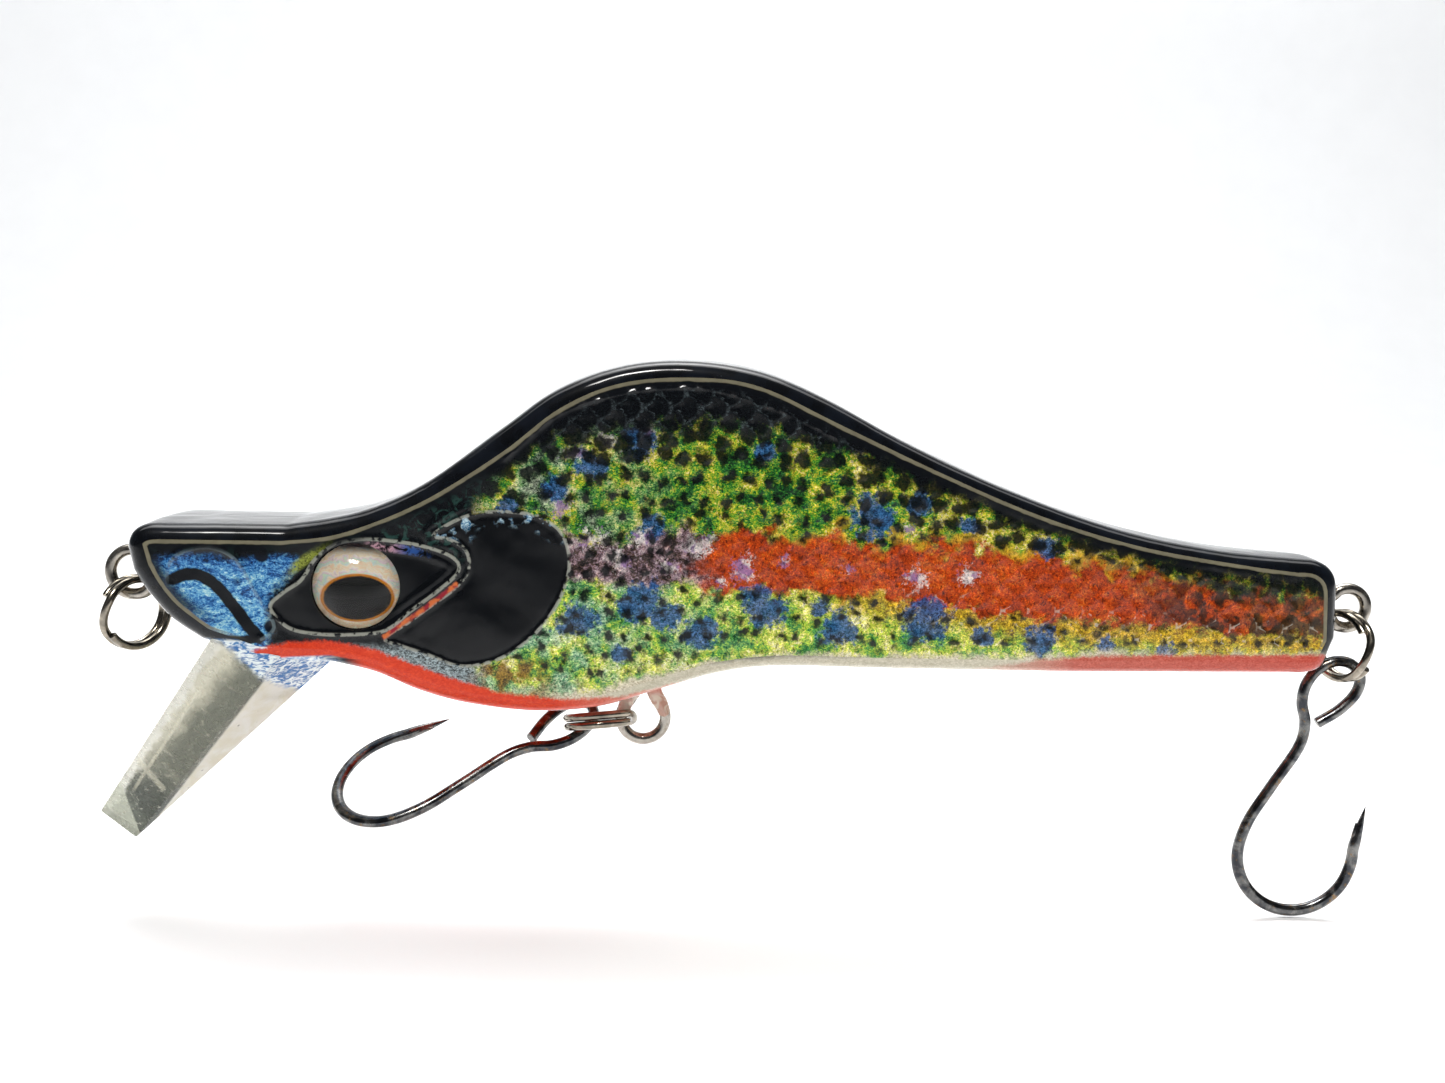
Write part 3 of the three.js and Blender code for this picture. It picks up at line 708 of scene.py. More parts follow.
def eyes(materials):
    disc = [(0, -1.3), (3.3, -1.3), (3.38, -1.2), (3.38, -1.1), (3.3, -1.05)]
    disc += [(r, -1.05) for r in np.linspace(3.1, 0.1, 24)] + [(0, -1.05)]
    rim, crown, base = 0.85, 1.75, -1.03
    sphere = (EYE_R ** 2 + crown ** 2) / (2 * crown)
    sweep_angle = math.asin(EYE_R / sphere)
    arc = [(sphere * math.sin(a), base + rim + crown - sphere * (1 - math.cos(a)))
           for a in np.linspace(sweep_angle, 0, 22)[1:-1]]
    lens = [(0, base), (EYE_R - 0.06, base), (EYE_R, base + 0.06), (EYE_R, base + rim - 0.08),
            (EYE_R - 0.02, base + rim)] + arc + [(0, base + rim + crown)]
    for side, name in ((-1, "left"), (1, "right")):
        verts, faces = turned(disc, 72)
        obj = piece(f"{name}_iris", on_flank(verts, side), faces, materials["iris"], "lure_body",
                    [f"{name}_eye_disc"])
        fix_normals(obj)
        verts, faces = turned(lens, 72)
        obj = piece(f"{name}_lens", on_flank(verts, side), faces, materials["clear"], "lure_body",
                    [f"{name}_eye_dome"])
        fix_normals(obj)


# ---------------------------------------------------------------- lip
def lip(materials):
    """The clear blade: a hull with softened edges. Its root reaches up into the body's slot."""
    corners = []
    for x, half, z in ((8.1, 5.6, -4.4), (13.4, 5.5, -5.8), (-2.8, 1.6, -20.3), (0.1, 1.6, -22.6),
                       (17.0, 0.4, -6.7), (2.9, 0.3, -19.5)):
        corners += [(x, -half, z), (x, half, z)]
    bm = bmesh.new()
    for corner in corners:
        bm.verts.new(Vector(corner))
    bmesh.ops.convex_hull(bm, input=bm.verts)
    bmesh.ops.dissolve_limit(bm, angle_limit=math.radians(1), verts=bm.verts, edges=bm.edges)
    bmesh.ops.bevel(bm, geom=list(bm.edges), offset=0.13, segments=2, profile=0.6, affect="EDGES")
    verts = np.array([v.co[:] for v in bm.verts])
    faces = [tuple(v.index for v in f.verts) for f in bm.faces]
    bm.free()
    piece("lip_blade", verts, faces, materials["acrylic"], "lure_body", ["diving_lip"],
          sharp=25)


# ---------------------------------------------------------------- finishes
def colour(code):
    """A scene-linear colour from a six-digit code."""
    parts = [int(code[i:i + 2], 16) / 255 for i in (0, 2, 4)]
    return tuple(c / 12.92 if c <= 0.04045 else ((c + 0.055) / 1.055) ** 2.4 for c in parts) + (1.0,)


class Paint:
    """One material's nodes, built with short calls. Coordinates are in millimetres."""

    def __init__(self, name):
        self.material = bpy.data.materials.new(name)
        self.material.use_nodes = True
        self.tree = self.material.node_tree
        self.tree.nodes.clear()
        place = self.node("ShaderNodeTexCoord").outputs["Object"]
        self.mm = self.node("ShaderNodeVectorMath", {0: place, "Scale": 1000.0}, operation="SCALE").outputs[0]
        split = self.node("ShaderNodeSeparateXYZ", {0: self.mm})
        self.x, self.y, self.z = split.outputs
        self.side = self.node("ShaderNodeCombineXYZ", {0: self.x, 1: self.z}).outputs[0]

    def node(self, kind, inputs=None, **settings):
        """A node, its inputs set or linked. A text value is a colour code."""
        made = self.tree.nodes.new(kind)
        for key, value in settings.items():
            setattr(made, key, value)
        for key, value in (inputs or {}).items():
            if isinstance(value, bpy.types.NodeSocket):
                self.tree.links.new(value, made.inputs[key])
            else:
                made.inputs[key].default_value = colour(value) if isinstance(value, str) else value
        return made

    def attribute(self, name):
        return self.node("ShaderNodeAttribute", attribute_name=name).outputs["Fac"]

    def math(self, operation, a, b=0.0, c=0.0):
        return self.node("ShaderNodeMath", {0: a, 1: b, 2: c}, operation=operation).outputs[0]

    def add(self, *values):
        total = values[0]
        for value in values[1:]:
            total = self.math("ADD", total, value)
        return total

    def times(self, *values):
        total = values[0]
        for value in values[1:]:
            total = self.math("MULTIPLY", total, value)
        return total

    def smooth(self, value, low, high, start=0.0, end=1.0):
        return self.node("ShaderNodeMapRange", {"Value": value, "From Min": low, "From Max": high,
                                                "To Min": start, "To Max": end},
                         interpolation_type="SMOOTHSTEP").outputs[0]

    def near(self, value, outer, inner):
        """1 where the value is nearly zero, 0 beyond the outer distance."""
        return self.smooth(self.math("ABSOLUTE", value), outer, inner)

    def stretch(self, scale=(1, 1, 1), shift=(0, 0, 0), turn=0.0):
        return self.node("ShaderNodeMapping", {"Vector": self.mm, "Location": shift, "Scale": scale,
                                               "Rotation": (0, math.radians(turn), 0)}).outputs[0]

    def noise(self, scale, detail=2.0, rough=0.5, warp=0.0, vector=None):
        made = self.node("ShaderNodeTexNoise", {"Vector": vector or self.mm, "Scale": scale, "Detail": detail,
                                                "Roughness": rough, "Distortion": warp})
        return made.outputs[0]

    def wobble(self, amount, scale, detail=2.0, warp=0.0):
        """Noise about zero, to fray an edge."""
        return self.math("MULTIPLY_ADD", self.noise(scale, detail, 0.6, warp), 2 * amount, -amount)

    def cells(self, scale, vector=None, random=0.8):
        return self.node("ShaderNodeTexVoronoi", {"Vector": vector or self.mm, "Scale": scale,
                                                  "Randomness": random})

    def mix(self, share, a, b, blend="MIX"):
        return self.node("ShaderNodeMix", {0: share, 6: a, 7: b}, data_type="RGBA",
                         blend_type=blend).outputs[2]

    def ramp(self, value, stops):
        made = self.node("ShaderNodeValToRGB", {0: value})
        ramp = made.color_ramp
        while len(ramp.elements) < len(stops):
            ramp.elements.new(0.5)
        for element, (position, tone) in zip(ramp.elements, stops):
            element.position, element.color = position, colour(tone)
        return made.outputs[0]

    def bump(self, height, distance, strength=1.0):
        inputs = {"Height": height, "Distance": distance * MM, "Strength": strength}
        return self.node("ShaderNodeBump", inputs).outputs[0]

    def finish(self, **inputs):
        shader = self.node("ShaderNodeBsdfPrincipled", {k.replace("_", " "): v for k, v in inputs.items()})
        self.node("ShaderNodeOutputMaterial", {0: shader.outputs[0]})
        return self.material


def coat_bump(p):
    """The slight unevenness of poured epoxy."""
    return p.bump(p.noise(0.22, 2.0, 0.45, 0.3), 0.35, 0.5)


def fine_print(p):
    """Short crossing strokes of a fine print: 0 dark to 1 light."""
    strokes = p.noise(2.6, 4.0, 0.7, 1.6, p.stretch((1.0, 1.0, 1.6), turn=20))
    grain = p.noise(6.0, 2.0, 0.6, 0.5)
    return p.add(p.times(strokes, 0.75), p.times(grain, 0.25))


def spots(p, spacing, radius, shift, random=0.62):
    """Fuzzy spots in loose rows over the side view, in millimetres: 1 within a spot."""
    stray = p.node("ShaderNodeTexNoise", {"Vector": p.side, "Scale": 0.8, "Detail": 2.0}).outputs[1]
    place = p.node("ShaderNodeVectorMath", {0: stray, "Scale": 1.5}, operation="SCALE").outputs[0]
    place = p.node("ShaderNodeVectorMath", {0: place, 1: p.side}, operation="ADD").outputs[0]
    place = p.node("ShaderNodeVectorMath", {0: place, 1: (shift, shift, 0)}, operation="ADD").outputs[0]
    cells = p.node("ShaderNodeTexVoronoi", {"Vector": place, "Scale": 1 / spacing, "Randomness": random},
                   voronoi_dimensions="2D")
    away = p.add(p.times(cells.outputs["Distance"], spacing), p.wobble(0.5, 2.0, 4.0, 0.6))
    return p.smooth(p.add(away, p.times(radius, -1.0)), -0.25, 0.25, 1.0, 0.0)


def grained(p, skin, weight):
    """Breaks a colour into the light and dark flecks of the print."""
    fleck = p.noise(3.4, 4.0, 0.8, 0.8, p.stretch((1.15, 1.0, 0.85)))
    dark = p.times(p.smooth(fleck, 0.5, 0.36), weight, 0.8)
    light = p.times(p.smooth(fleck, 0.53, 0.66), weight, 0.8)
    skin = p.mix(dark, skin, "050d0a")
    return p.mix(light, skin, p.mix(1.0, skin, (1.95, 1.8, 1.45, 1.0), "MULTIPLY"))


def print_colours(p):
    """The whole printed flank, from the back down to the belly."""
    edge = {name: p.attribute(name) for name in EDGES}
    fine = fine_print(p)
    fray = p.add(p.wobble(1.9, 0.7, 3.0), p.wobble(0.7, 3.0, 3.0, 1.0))
    near_back = p.smooth(edge["dark_edge"], -5.5, 0.8)
    ragged = p.wobble(2.6, 0.4, 4.0, 0.8)
    above_band = p.add(edge["orange_top"], p.times(fray, 0.7), ragged)
    below_band = p.add(edge["orange_low"], p.times(fray, 0.6), p.times(ragged, 0.6))
    to_tail = p.smooth(p.x, 82, 97)

    # dark back with a grey sheen of small scales
    black = p.mix(p.smooth(fine, 0.5, 0.8), "05080c", "272d30")
    sheen = p.times(p.smooth(p.attribute("scales"), 0.72, 0.98), p.smooth(fine, 0.4, 0.6),
                    p.smooth(p.x, 32, 38), p.smooth(p.x, 66, 56))
    black = p.mix(p.times(sheen, 0.5), black, "5d686c")

    # green and yellow upper flank
    wash = p.noise(0.42, 3.0, 0.6, 0.4)
    green = p.ramp(p.add(wash, p.times(p.add(fine, -0.5), 1.5), p.times(p.smooth(p.x, 52, 74), 0.07)), [
        (0.2, "0a1a12"), (0.36, "1d4a24"), (0.47, "2f8a2a"), (0.56, "8aa526"),
        (0.66, "d0bc28"), (0.8, "dcd9a4")])
    faded = p.times(p.smooth(p.x, 50, 33), p.smooth(p.noise(0.55, 2.0), 0.4, 0.62))
    green = p.mix(p.times(faded, p.smooth(fine, 0.4, 0.62), 0.85), green, "bfc6b2")

    # red-orange band along the side, broken up near the gill and at the tail
    orange = p.ramp(p.add(fine, p.wobble(0.2, 0.55)), [
        (0.22, "33110a"), (0.38, "8a2c0c"), (0.52, "b84212"), (0.66, "cf6a22"),
        (0.84, "e6b478")])
    broken = p.smooth(p.add(p.x, p.wobble(5.0, 0.55, 3.0)), 48.5, 45.5)
    dusk = p.ramp(p.add(p.noise(1.1, 4.0, 0.7, 0.6), p.times(p.add(fine, -0.5), 0.8)), [
        (0.3, "0c0b0d"), (0.44, "4a3a34"), (0.54, "8a6f7c"), (0.64, "b9a7a8"),
        (0.8, "e2dcd6")])
    orange = p.mix(broken, orange, dusk)
    blotch = p.times(p.smooth(p.x, 77, 92), p.smooth(p.noise(0.5, 3.0, 0.6, 0.3), 0.45, 0.54))
    orange = p.mix(p.times(blotch, 0.9), orange, "17150d")
    orange = p.mix(p.times(p.smooth(p.x, 88, 99), 0.35), orange, "6a5428")
    flank = p.mix(p.smooth(above_band, 0.6, -0.6), green, orange)
    fringe = p.times(p.near(above_band, 1.2, 0.2), p.smooth(p.x, 50, 62), p.smooth(p.x, 92, 84),
                     p.smooth(p.noise(0.5), 0.42, 0.6))
    flank = p.mix(p.times(fringe, 0.8), flank, "c9a22a")

    # pale green and yellow below the band
    low = p.ramp(p.add(p.noise(0.5, 3.0, 0.6, 0.3), p.times(p.add(fine, -0.5), 1.4)), [
        (0.22, "143a20"), (0.38, "3f8f45"), (0.5, "93bb38"), (0.62, "dcd858"),
        (0.8, "eeeed0")])
    sea = p.mix(p.smooth(fine, 0.4, 0.62), "2a7a50", "c6e2c4")
    low = p.mix(p.times(p.smooth(p.x, 54, 38), p.smooth(p.noise(0.4, 2.0), 0.42, 0.6), 0.85), low, sea)
    below = p.smooth(below_band, 0.5, -0.5)
    flank = p.mix(below, flank, low)
    glow = p.times(p.smooth(below_band, -2.8, -0.3), below, p.smooth(p.x, 54, 64))
    flank = p.mix(p.times(glow, 0.85), flank, p.mix(p.smooth(fine, 0.38, 0.62), "8a5208", "e3b424"))

    # blue blotches, white and mauve flecks
    blue_edge = p.add(p.attribute("blue_patch"), p.wobble(1.0, 0.7, 3.0), p.wobble(0.7, 2.6, 3.0))
    blue = p.mix(p.smooth(fine, 0.36, 0.66), "06162e", "2f6cb4")
    flank = p.mix(p.times(p.smooth(blue_edge, -0.1, 0.35), 0.92), flank, blue)
    pale_edge = p.add(p.attribute("pale_patch"), p.wobble(1.2, 0.9, 3.0), p.wobble(1.2, 3.4, 3.0, 1.0))
    mauve = p.mix(p.smooth(p.noise(0.7), 0.47, 0.57), "d9d2d0", "8a6a9c")
    flank = p.mix(p.times(p.smooth(pale_edge, 0.2, 0.8), 0.85), flank, mauve)
    flank = grained(p, flank, 1.0)

    # black spots, thickest towards the back and sparse on the orange band
    in_band = p.smooth(p.math("MINIMUM", p.times(above_band, -1.0), below_band), -0.4, 0.9)
    calm = p.times(p.smooth(p.x, 44, 50), p.add(-0.93, p.times(to_tail, 0.55)))
    sparse = p.add(1.0, p.times(in_band, calm))
    fade = p.times(sparse, p.smooth(p.add(edge["cream_edge"], p.times(fray, 0.4)), 0.0, 1.1))
    radius = p.add(0.47, p.times(near_back, 0.36), p.times(below, -0.08))
    flank = p.mix(p.times(spots(p, 1.6, radius, 3.3), fade, 0.96), flank, "05090a")
    flank = p.mix(p.smooth(p.add(edge["dark_edge"], fray), 1.0, -1.0, 1.0, 0.0), flank, black)

    # belly
    cream = p.mix(p.smooth(fine, 0.35, 0.65), "9c8f74", "e6dfca")
    flank = p.mix(p.smooth(p.add(edge["cream_edge"], p.times(fray, 0.6)), 0.5, -0.5), flank, cream)
    rust = p.times(p.smooth(p.x, 37, 33), p.smooth(p.z, -5.4, -6.4), p.smooth(p.noise(0.9, 2.0), 0.36, 0.56))
    flank = p.mix(rust, flank, p.mix(p.smooth(fine, 0.4, 0.62), "3a2c12", "a8842f"))
    return flank, black, fine, fray


def red_belly(p, base, fine):
    """The painted red throat and tail edge, over another colour."""
    red = p.mix(p.smooth(fine, 0.35, 0.7), "c42a0c", "e0481f")
    rosy = p.mix(p.smooth(fine, 0.35, 0.7), "ab3628", "cc5a48")
    red = p.mix(p.smooth(p.x, 46, 74), red, rosy)
    edge = p.add(p.attribute("red_edge"), p.wobble(0.2, 1.2), p.wobble(0.3, 5.0, 3.0))
    low = p.math("MAXIMUM", p.smooth(p.x, 18.5, 20.5), p.smooth(p.attribute("red_edge"), -1.35, -1.1))
    share = p.times(p.smooth(edge, 0.22, -0.2), p.attribute("red_amount"), low)
    return p.mix(share, base, red)


def trout_print():
    """Flank film: printed trout skin and painted head, with painted highlights along the head's raised edges,
    under clear epoxy.
    """
    p = Paint("trout_print")
    flank, black, fine, fray = print_colours(p)

    # head: dark above, blue nose, black gill cover and eye mask
    swirl = p.noise(0.55, 4.0, 0.72, 2.2, p.stretch((0.7, 1.0, 1.5), turn=38))
    swirl = p.add(swirl, p.smooth(p.z, 0.8, 2.4, 0.0, -0.16))
    sky = p.ramp(p.add(swirl, p.times(p.add(fine, -0.5), 1.2)), [
        (0.25, "0b2038"), (0.4, "23589a"), (0.52, "4f93c6"), (0.64, "8fc4cf"),
        (0.8, "e0ecea")])
    head_dots = p.smooth(p.cells(0.42, p.stretch(shift=(3, 0, 1)), 0.9).outputs["Distance"], 0.3, 0.2)
    sky = p.mix(p.times(head_dots, p.smooth(p.x, 9.5, 11)), sky, "071020")
    forehead = p.mix(p.times(p.smooth(p.z, 1.6, 4.0), p.smooth(p.noise(1.0, 3.0, 0.6, 1.0), 0.5, 0.62),
                             0.5), black,
                     "33564f")
    head = p.mix(p.smooth(p.add(p.attribute("blue"), p.times(fray, 0.5)), -0.4, 0.5), forehead, sky)
    throat = p.mix(p.smooth(fine, 0.4, 0.62), "2c2f31", "a8b8bc")
    head = p.mix(p.times(p.smooth(p.z, -4.4, -5.4), p.smooth(p.x, 12, 15)), head, throat)
    head_share = p.smooth(p.add(p.x, p.times(fray, 0.6)), 30.5, 28.5)
    olive = p.times(p.near(p.add(p.z, -3.1, p.times(p.add(p.x, -17), -0.75)), 0.7, 0.2),
                    p.near(p.add(p.x, -16.2), 2.2, 1.2), p.smooth(p.attribute("mask"), 0.0, -0.2))
    head = p.mix(p.times(olive, p.smooth(fine, 0.34, 0.6)), head, "8f9a3a")
    skin = p.mix(head_share, flank, head)
    skin = p.mix(p.smooth(p.add(p.attribute("lips"), p.wobble(0.12, 1.4)), 0.08, -0.08), skin, "06090f")

    gill = p.attribute("gill")
    cheek = p.mix(p.smooth(fine, 0.6, 0.85), "05070b", "1c2227")
    glints = p.times(p.smooth(gill, 1.5, 0.5), p.smooth(p.z, 3.6, 4.6), p.smooth(p.noise(1.1, 2.0), 0.5, 0.6))
    cheek = p.mix(glints, cheek, p.mix(p.smooth(fine, 0.4, 0.6), "1f5f8a", "b9d3da"))
    skin = p.mix(p.smooth(gill, -0.1, 0.1), skin, cheek)
    # Pale line along the gill cover's raised edge: partly the print's grey outline, partly a painted
    # highlight of the raised edge.
    gill_outline_and_highlight = p.times(p.near(gill, 0.19, 0.08), p.smooth(p.noise(2.0, 2.0), 0.4, 0.56))
    skin = p.mix(p.times(gill_outline_and_highlight, 0.7), skin, "a3a59b")
    red_line = p.smooth(p.add(p.attribute("gill_red"), p.wobble(0.16, 2.2, 3.0)), 0.3, 0.08)
    skin = p.mix(red_line, skin, p.mix(p.smooth(p.noise(1.4), 0.4, 0.6), "8f2a34", "c96a3c"))
    mask = p.attribute("mask")
    skin = p.mix(p.smooth(p.add(mask, p.wobble(0.05, 2.0)), -0.06, 0.06), skin, "04060a")
    glint = p.times(p.near(p.add(mask, -0.55), 0.5, 0.25), p.smooth(p.x, 20.2, 21.2),
                    p.smooth(p.x, 26, 24.5), p.smooth(p.z, 2.2, 2.6))
    glint = p.times(glint, p.smooth(p.noise(1.6, 3.0, 0.6, 1.0), 0.42, 0.6))
    skin = p.mix(p.times(glint, 0.9), skin, p.mix(p.smooth(p.x, 22.3, 24), "b98f9c", "2c4f8f"))
    # Pale line along the eye mask's raised edge: partly the print's grey outline, partly a painted highlight
    # of the raised edge.
    rim = p.times(p.near(mask, 0.2, 0.08), p.smooth(p.noise(2.0, 2.0), 0.36, 0.5))
    skin = p.mix(p.times(rim, 0.6), skin, "aeb0a4")
    # Pale line along the raised mouth loop: a painted highlight.
    loop = p.times(p.smooth(p.attribute("loop"), 0.2, 0.08), p.smooth(p.noise(2.0, 2.0), 0.3, 0.5))
    skin = p.mix(p.times(loop, 0.4), skin, "7d9096")

    # scale edges showing pale where the print is dark or orange
    scale_line = p.times(p.smooth(p.attribute("scales"), 0.86, 0.97), p.smooth(gill, -0.6, -1.4),
                         p.smooth(p.x, 32, 38))
    zone = p.times(p.near(p.attribute("orange_low"), 1.9, 0.9), p.smooth(p.x, 60, 68))
    skin = p.mix(p.times(scale_line, zone, p.smooth(p.noise(1.2), 0.36, 0.56), 0.5), skin, "cfc6b4")
    skin = red_belly(p, skin, fine)

    # the film's own border shows as a thin khaki line along the back, nose and tail
    line = p.smooth(p.add(p.attribute("film"), p.wobble(0.12, 0.6)), 0.36, 0.24)
    line = p.times(line, p.smooth(p.z, -4.6, -3.2))
    dark = p.times(p.smooth(p.attribute("film"), 1.5, 0.5), p.smooth(p.z, -3.5, -1.5), p.smooth(p.x, 97, 90))
    skin = p.mix(p.times(dark, 0.9), skin, "080b10")
    skin = p.mix(line, skin, p.mix(p.noise(1.0), "5f5b4c", "858069"))
    coat = coat_bump(p)
    return p.finish(Base_Color=skin, Roughness=p.smooth(fine, 0.3, 0.8, 0.42, 0.3),
                    Normal=p.bump(fine, 0.02, 0.4),
                    Specular_IOR_Level=0.05, Coat_Weight=1.0, Coat_Roughness=0.025, Coat_IOR=1.34,
                    Coat_Normal=coat)


def black_lacquer():
    """Body paint: black back and edges, red and cream underneath, under clear epoxy."""
    p = Paint("black_lacquer")
    fine = fine_print(p)
    black = p.mix(p.smooth(p.noise(0.5, 3.0), 0.35, 0.7), "04060a", "0c1119")
    cream = p.mix(p.smooth(fine, 0.35, 0.7), "b5ae96", "dcd6c4")
    under = p.smooth(p.add(p.attribute("cream_edge"), p.wobble(0.3, 1.0)), 0.5, -0.4)
    under = p.times(under, p.smooth(p.x, 17, 22), p.smooth(p.x, 101.3, 100.6))
    skin = p.mix(under, black, cream)
    strokes = p.noise(1.2, 3.0, 0.6, 1.0, p.stretch((1.0, 1.0, 2.2), turn=-15))
    chin = p.mix(p.smooth(strokes, 0.4, 0.62), "3f78b0", "dfe8ea")
    skin = p.mix(p.times(p.smooth(p.z, -4.3, -4.7), p.smooth(p.x, 7.0, 8.0), p.smooth(p.x, 19, 16)), skin,
                 chin)
    skin = red_belly(p, skin, fine)
    dust = p.smooth(p.cells(0.9, random=1.0).outputs["Distance"], 0.05, 0.02)
    skin = p.mix(p.times(dust, 0.35), skin, "5a6068")
    return p.finish(Base_Color=skin, Roughness=0.35, Normal=p.bump(p.noise(3.0), 0.01, 0.3),
                    Specular_IOR_Level=0.05, Coat_Weight=1.0, Coat_Roughness=0.02, Coat_IOR=1.34,
                    Coat_Normal=coat_bump(p))


def neck_coat():
    """Pale epoxy run down over the belly eye's two necks, tinted pink by the paint above it."""
    p = Paint("neck_coat")
    patch = p.noise(0.9, 3.0, 0.6, 1.0)
    tone = p.mix(p.smooth(patch, 0.38, 0.62), "c9a08c", "ded4c2")
    tone = p.mix(p.times(p.smooth(p.z, -9.9, -9.2), 0.7), tone, "c2604c")
    return p.finish(Base_Color=tone, Roughness=p.smooth(patch, 0.3, 0.7, 0.2, 0.4), Coat_Weight=0.8,
                    Coat_Roughness=0.05, Normal=p.bump(p.noise(1.6, 3.0), 0.04, 0.5))


def iris_foil():
    """Holographic eye foil: rainbow arcs on gold, an orange ring and a black oval pupil."""
    p = Paint("iris_foil")
    pupil_x, pupil_z = 19.7, -0.9
    half_length, half_height = 2.3, 1.5
    dx, dz = p.add(p.x, -pupil_x), p.add(p.z, -pupil_z)
    oval = p.math("SQRT", p.add(p.math("POWER", p.math("DIVIDE", dx, half_length), 2.0),
                                p.math("POWER", p.math("DIVIDE", dz, half_height), 2.0)))
    swirl = p.add(p.times(oval, 1.3), p.times(p.noise(0.8, 3.0, 0.6, 1.6), 1.6), p.times(p.z, 0.15))
    hue = p.math("FRACT", swirl)
    rainbow = p.ramp(hue, [(0.0, "fff6dc"), (0.16, "ffc070"), (0.3, "fff3d0"),
                           (0.42, "a8e0f0"), (0.52, "c8f0c0"), (0.62, "e6b8e0"),
                           (0.78, "fffaf0"), (0.9, "ffd28c"), (1.0, "fff6dc")])
    gold = p.mix(p.smooth(p.noise(1.2, 2.0, 0.5, 1.0), 0.35, 0.65), "d9a850", "fff4d8")
    foil = p.mix(0.35, p.mix(0.75, gold, rainbow), "fffdf6")
    # Darker towards the top of the disc.
    foil = p.mix(p.smooth(p.z, 2.0, 3.0), foil, "3a2c34")
    foil = p.mix(p.smooth(oval, 1.18, 1.11), foil, "d9851c")
    foil = p.mix(p.smooth(p.add(oval, p.wobble(0.03, 4.0)), 1.07, 1.0), foil, "030303")
    metal = p.smooth(oval, 1.0, 1.2, 0.0, 0.15)
    return p.finish(Base_Color=foil, Metallic=metal, Roughness=p.smooth(p.noise(2.0), 0.3, 0.7, 0.25, 0.45),
                    Specular_IOR_Level=0.02,
                    Normal=p.bump(p.times(p.noise(1.5, 3.0, 0.6, 1.5), p.smooth(oval, 1.0, 1.2)), 0.03, 0.4))


def clear_dome():
    """Domed clear resin."""
    p = Paint("clear_dome")
    haze = p.smooth(p.noise(1.5, 3.0), 0.4, 0.8, 0.01, 0.05)
    return p.finish(Base_Color=p.mix(p.noise(0.4), "fbfaf4", "ffffff"), Roughness=haze,
                    Transmission_Weight=1.0, IOR=1.33, Normal=p.bump(p.noise(0.35), 0.04, 0.4))


def acrylic():
    """Clear acrylic lip: saw marks and scratches on its sides, a grey on the sides painted to stand for the
    dark room seen through the plate, and print carried over its root.
    """
    p = Paint("acrylic")
    root_x, root_z = 10.75, -5.1
    forward, drop = 0.595, 0.804  # the blade's direction, from its root to its tip
    behind_root, above_root = p.add(p.x, -root_x), p.add(p.z, -root_z)
    down = p.add(p.times(behind_root, -forward), p.times(above_root, -drop))
    across = p.add(p.times(behind_root, drop), p.times(above_root, -forward))
    along = p.node("ShaderNodeCombineXYZ", {0: p.times(across, 0.5), 1: p.y, 2: down}).outputs[0]
    saw = p.noise(2.2, 4.0, 0.7, 0.3, along)
    cloud = p.noise(0.45, 4.0, 0.65, 0.6)
    side = p.smooth(p.add(across, p.times(p.add(down, -10.0), 0.03)), 2.62, 2.42)
    # Painted refraction: the side face's grey, in patches and deeper towards the tip, stands for the dark
    # room seen through the clear acrylic.
    dark = p.smooth(p.add(across, p.times(down, 0.1), p.wobble(0.9, 0.5, 3.0)), -0.6, 1.2)
    grey = p.mix(dark, "cbc7b2", "6a6c5e")
    grey = p.mix(p.times(p.smooth(saw, 0.58, 0.7), 0.6), grey, "dcd8c6")
    grey = p.mix(p.times(p.smooth(down, 13, 17), dark), grey, "474c42")
    frost = p.smooth(p.add(across, p.times(down, -0.03), p.wobble(0.9, 1.0, 4.0)), -1.5, -2.0)
    grey = p.mix(p.times(frost, 0.9), grey, "e9e8de")
    streak = p.near(p.add(across, 1.15, p.times(down, -0.035), p.wobble(0.1, 0.5)), 0.2, 0.08)
    bar = p.times(p.near(p.add(down, -14.6, p.times(across, -0.3)), 0.35, 0.15),
                  p.near(p.add(across, 0.2), 1.8, 1.5))
    marks = p.math("MAXIMUM", p.times(streak, p.smooth(down, 4.5, 6.0), p.smooth(down, 17.2, 16)), bar)
    grey = p.mix(p.times(marks, 0.6), grey, "e4dfc8")
    nicks = p.times(p.smooth(p.noise(4.0, 2.0, 0.5, 1.0, along), 0.64, 0.7), p.smooth(down, 11, 14), dark)
    grey = p.mix(nicks, grey, "d9d7c8")
    tip = p.smooth(p.add(down, p.times(across, -0.8)), 18.2, 18.35)
    grey = p.mix(p.times(tip, 0.8), grey, "c3c6b4")
    specks = p.times(p.smooth(p.cells(1.3, random=1.0).outputs["Distance"], 0.2, 0.08),
                     p.smooth(p.noise(0.8), 0.5, 0.6))
    pane = p.mix(p.smooth(cloud, 0.35, 0.65), "efe8d0", "fdfaf0")
    pane = p.mix(p.times(specks, 0.75), pane, "5a5242")
    back_edge = p.times(p.near(p.y, 0.62, 0.42), p.smooth(across, 2.2, 2.6))
    pane = p.mix(p.times(back_edge, 0.85), pane, "4a3226")
    tint = p.mix(side, pane, grey)
    root = p.smooth(p.add(down, p.times(across, -0.18), p.wobble(0.5, 1.2)), 1.5, 0.7)
    strokes = p.mix(p.smooth(p.noise(1.3, 3.0, 0.6, 1.2, p.stretch((1.0, 1.0, 2.4), turn=-20)), 0.42, 0.6),
                    "2f6aa8", "e6eeee")
    tint = p.mix(root, tint, strokes)
    clear = p.times(p.smooth(root, 0.0, 1.0, 1.0, 0.0), p.smooth(side, 0.0, 1.0, 0.35, 0.5))
    rough = p.add(p.times(side, p.smooth(saw, 0.3, 0.7, 0.08, 0.3)), 0.04)
    height = p.add(p.times(saw, side), p.times(marks, 0.5), p.times(nicks, -0.5))
    return p.finish(Base_Color=tint, Roughness=rough, Transmission_Weight=clear, IOR=1.49,
                    Normal=p.bump(height, 0.06, 0.5))


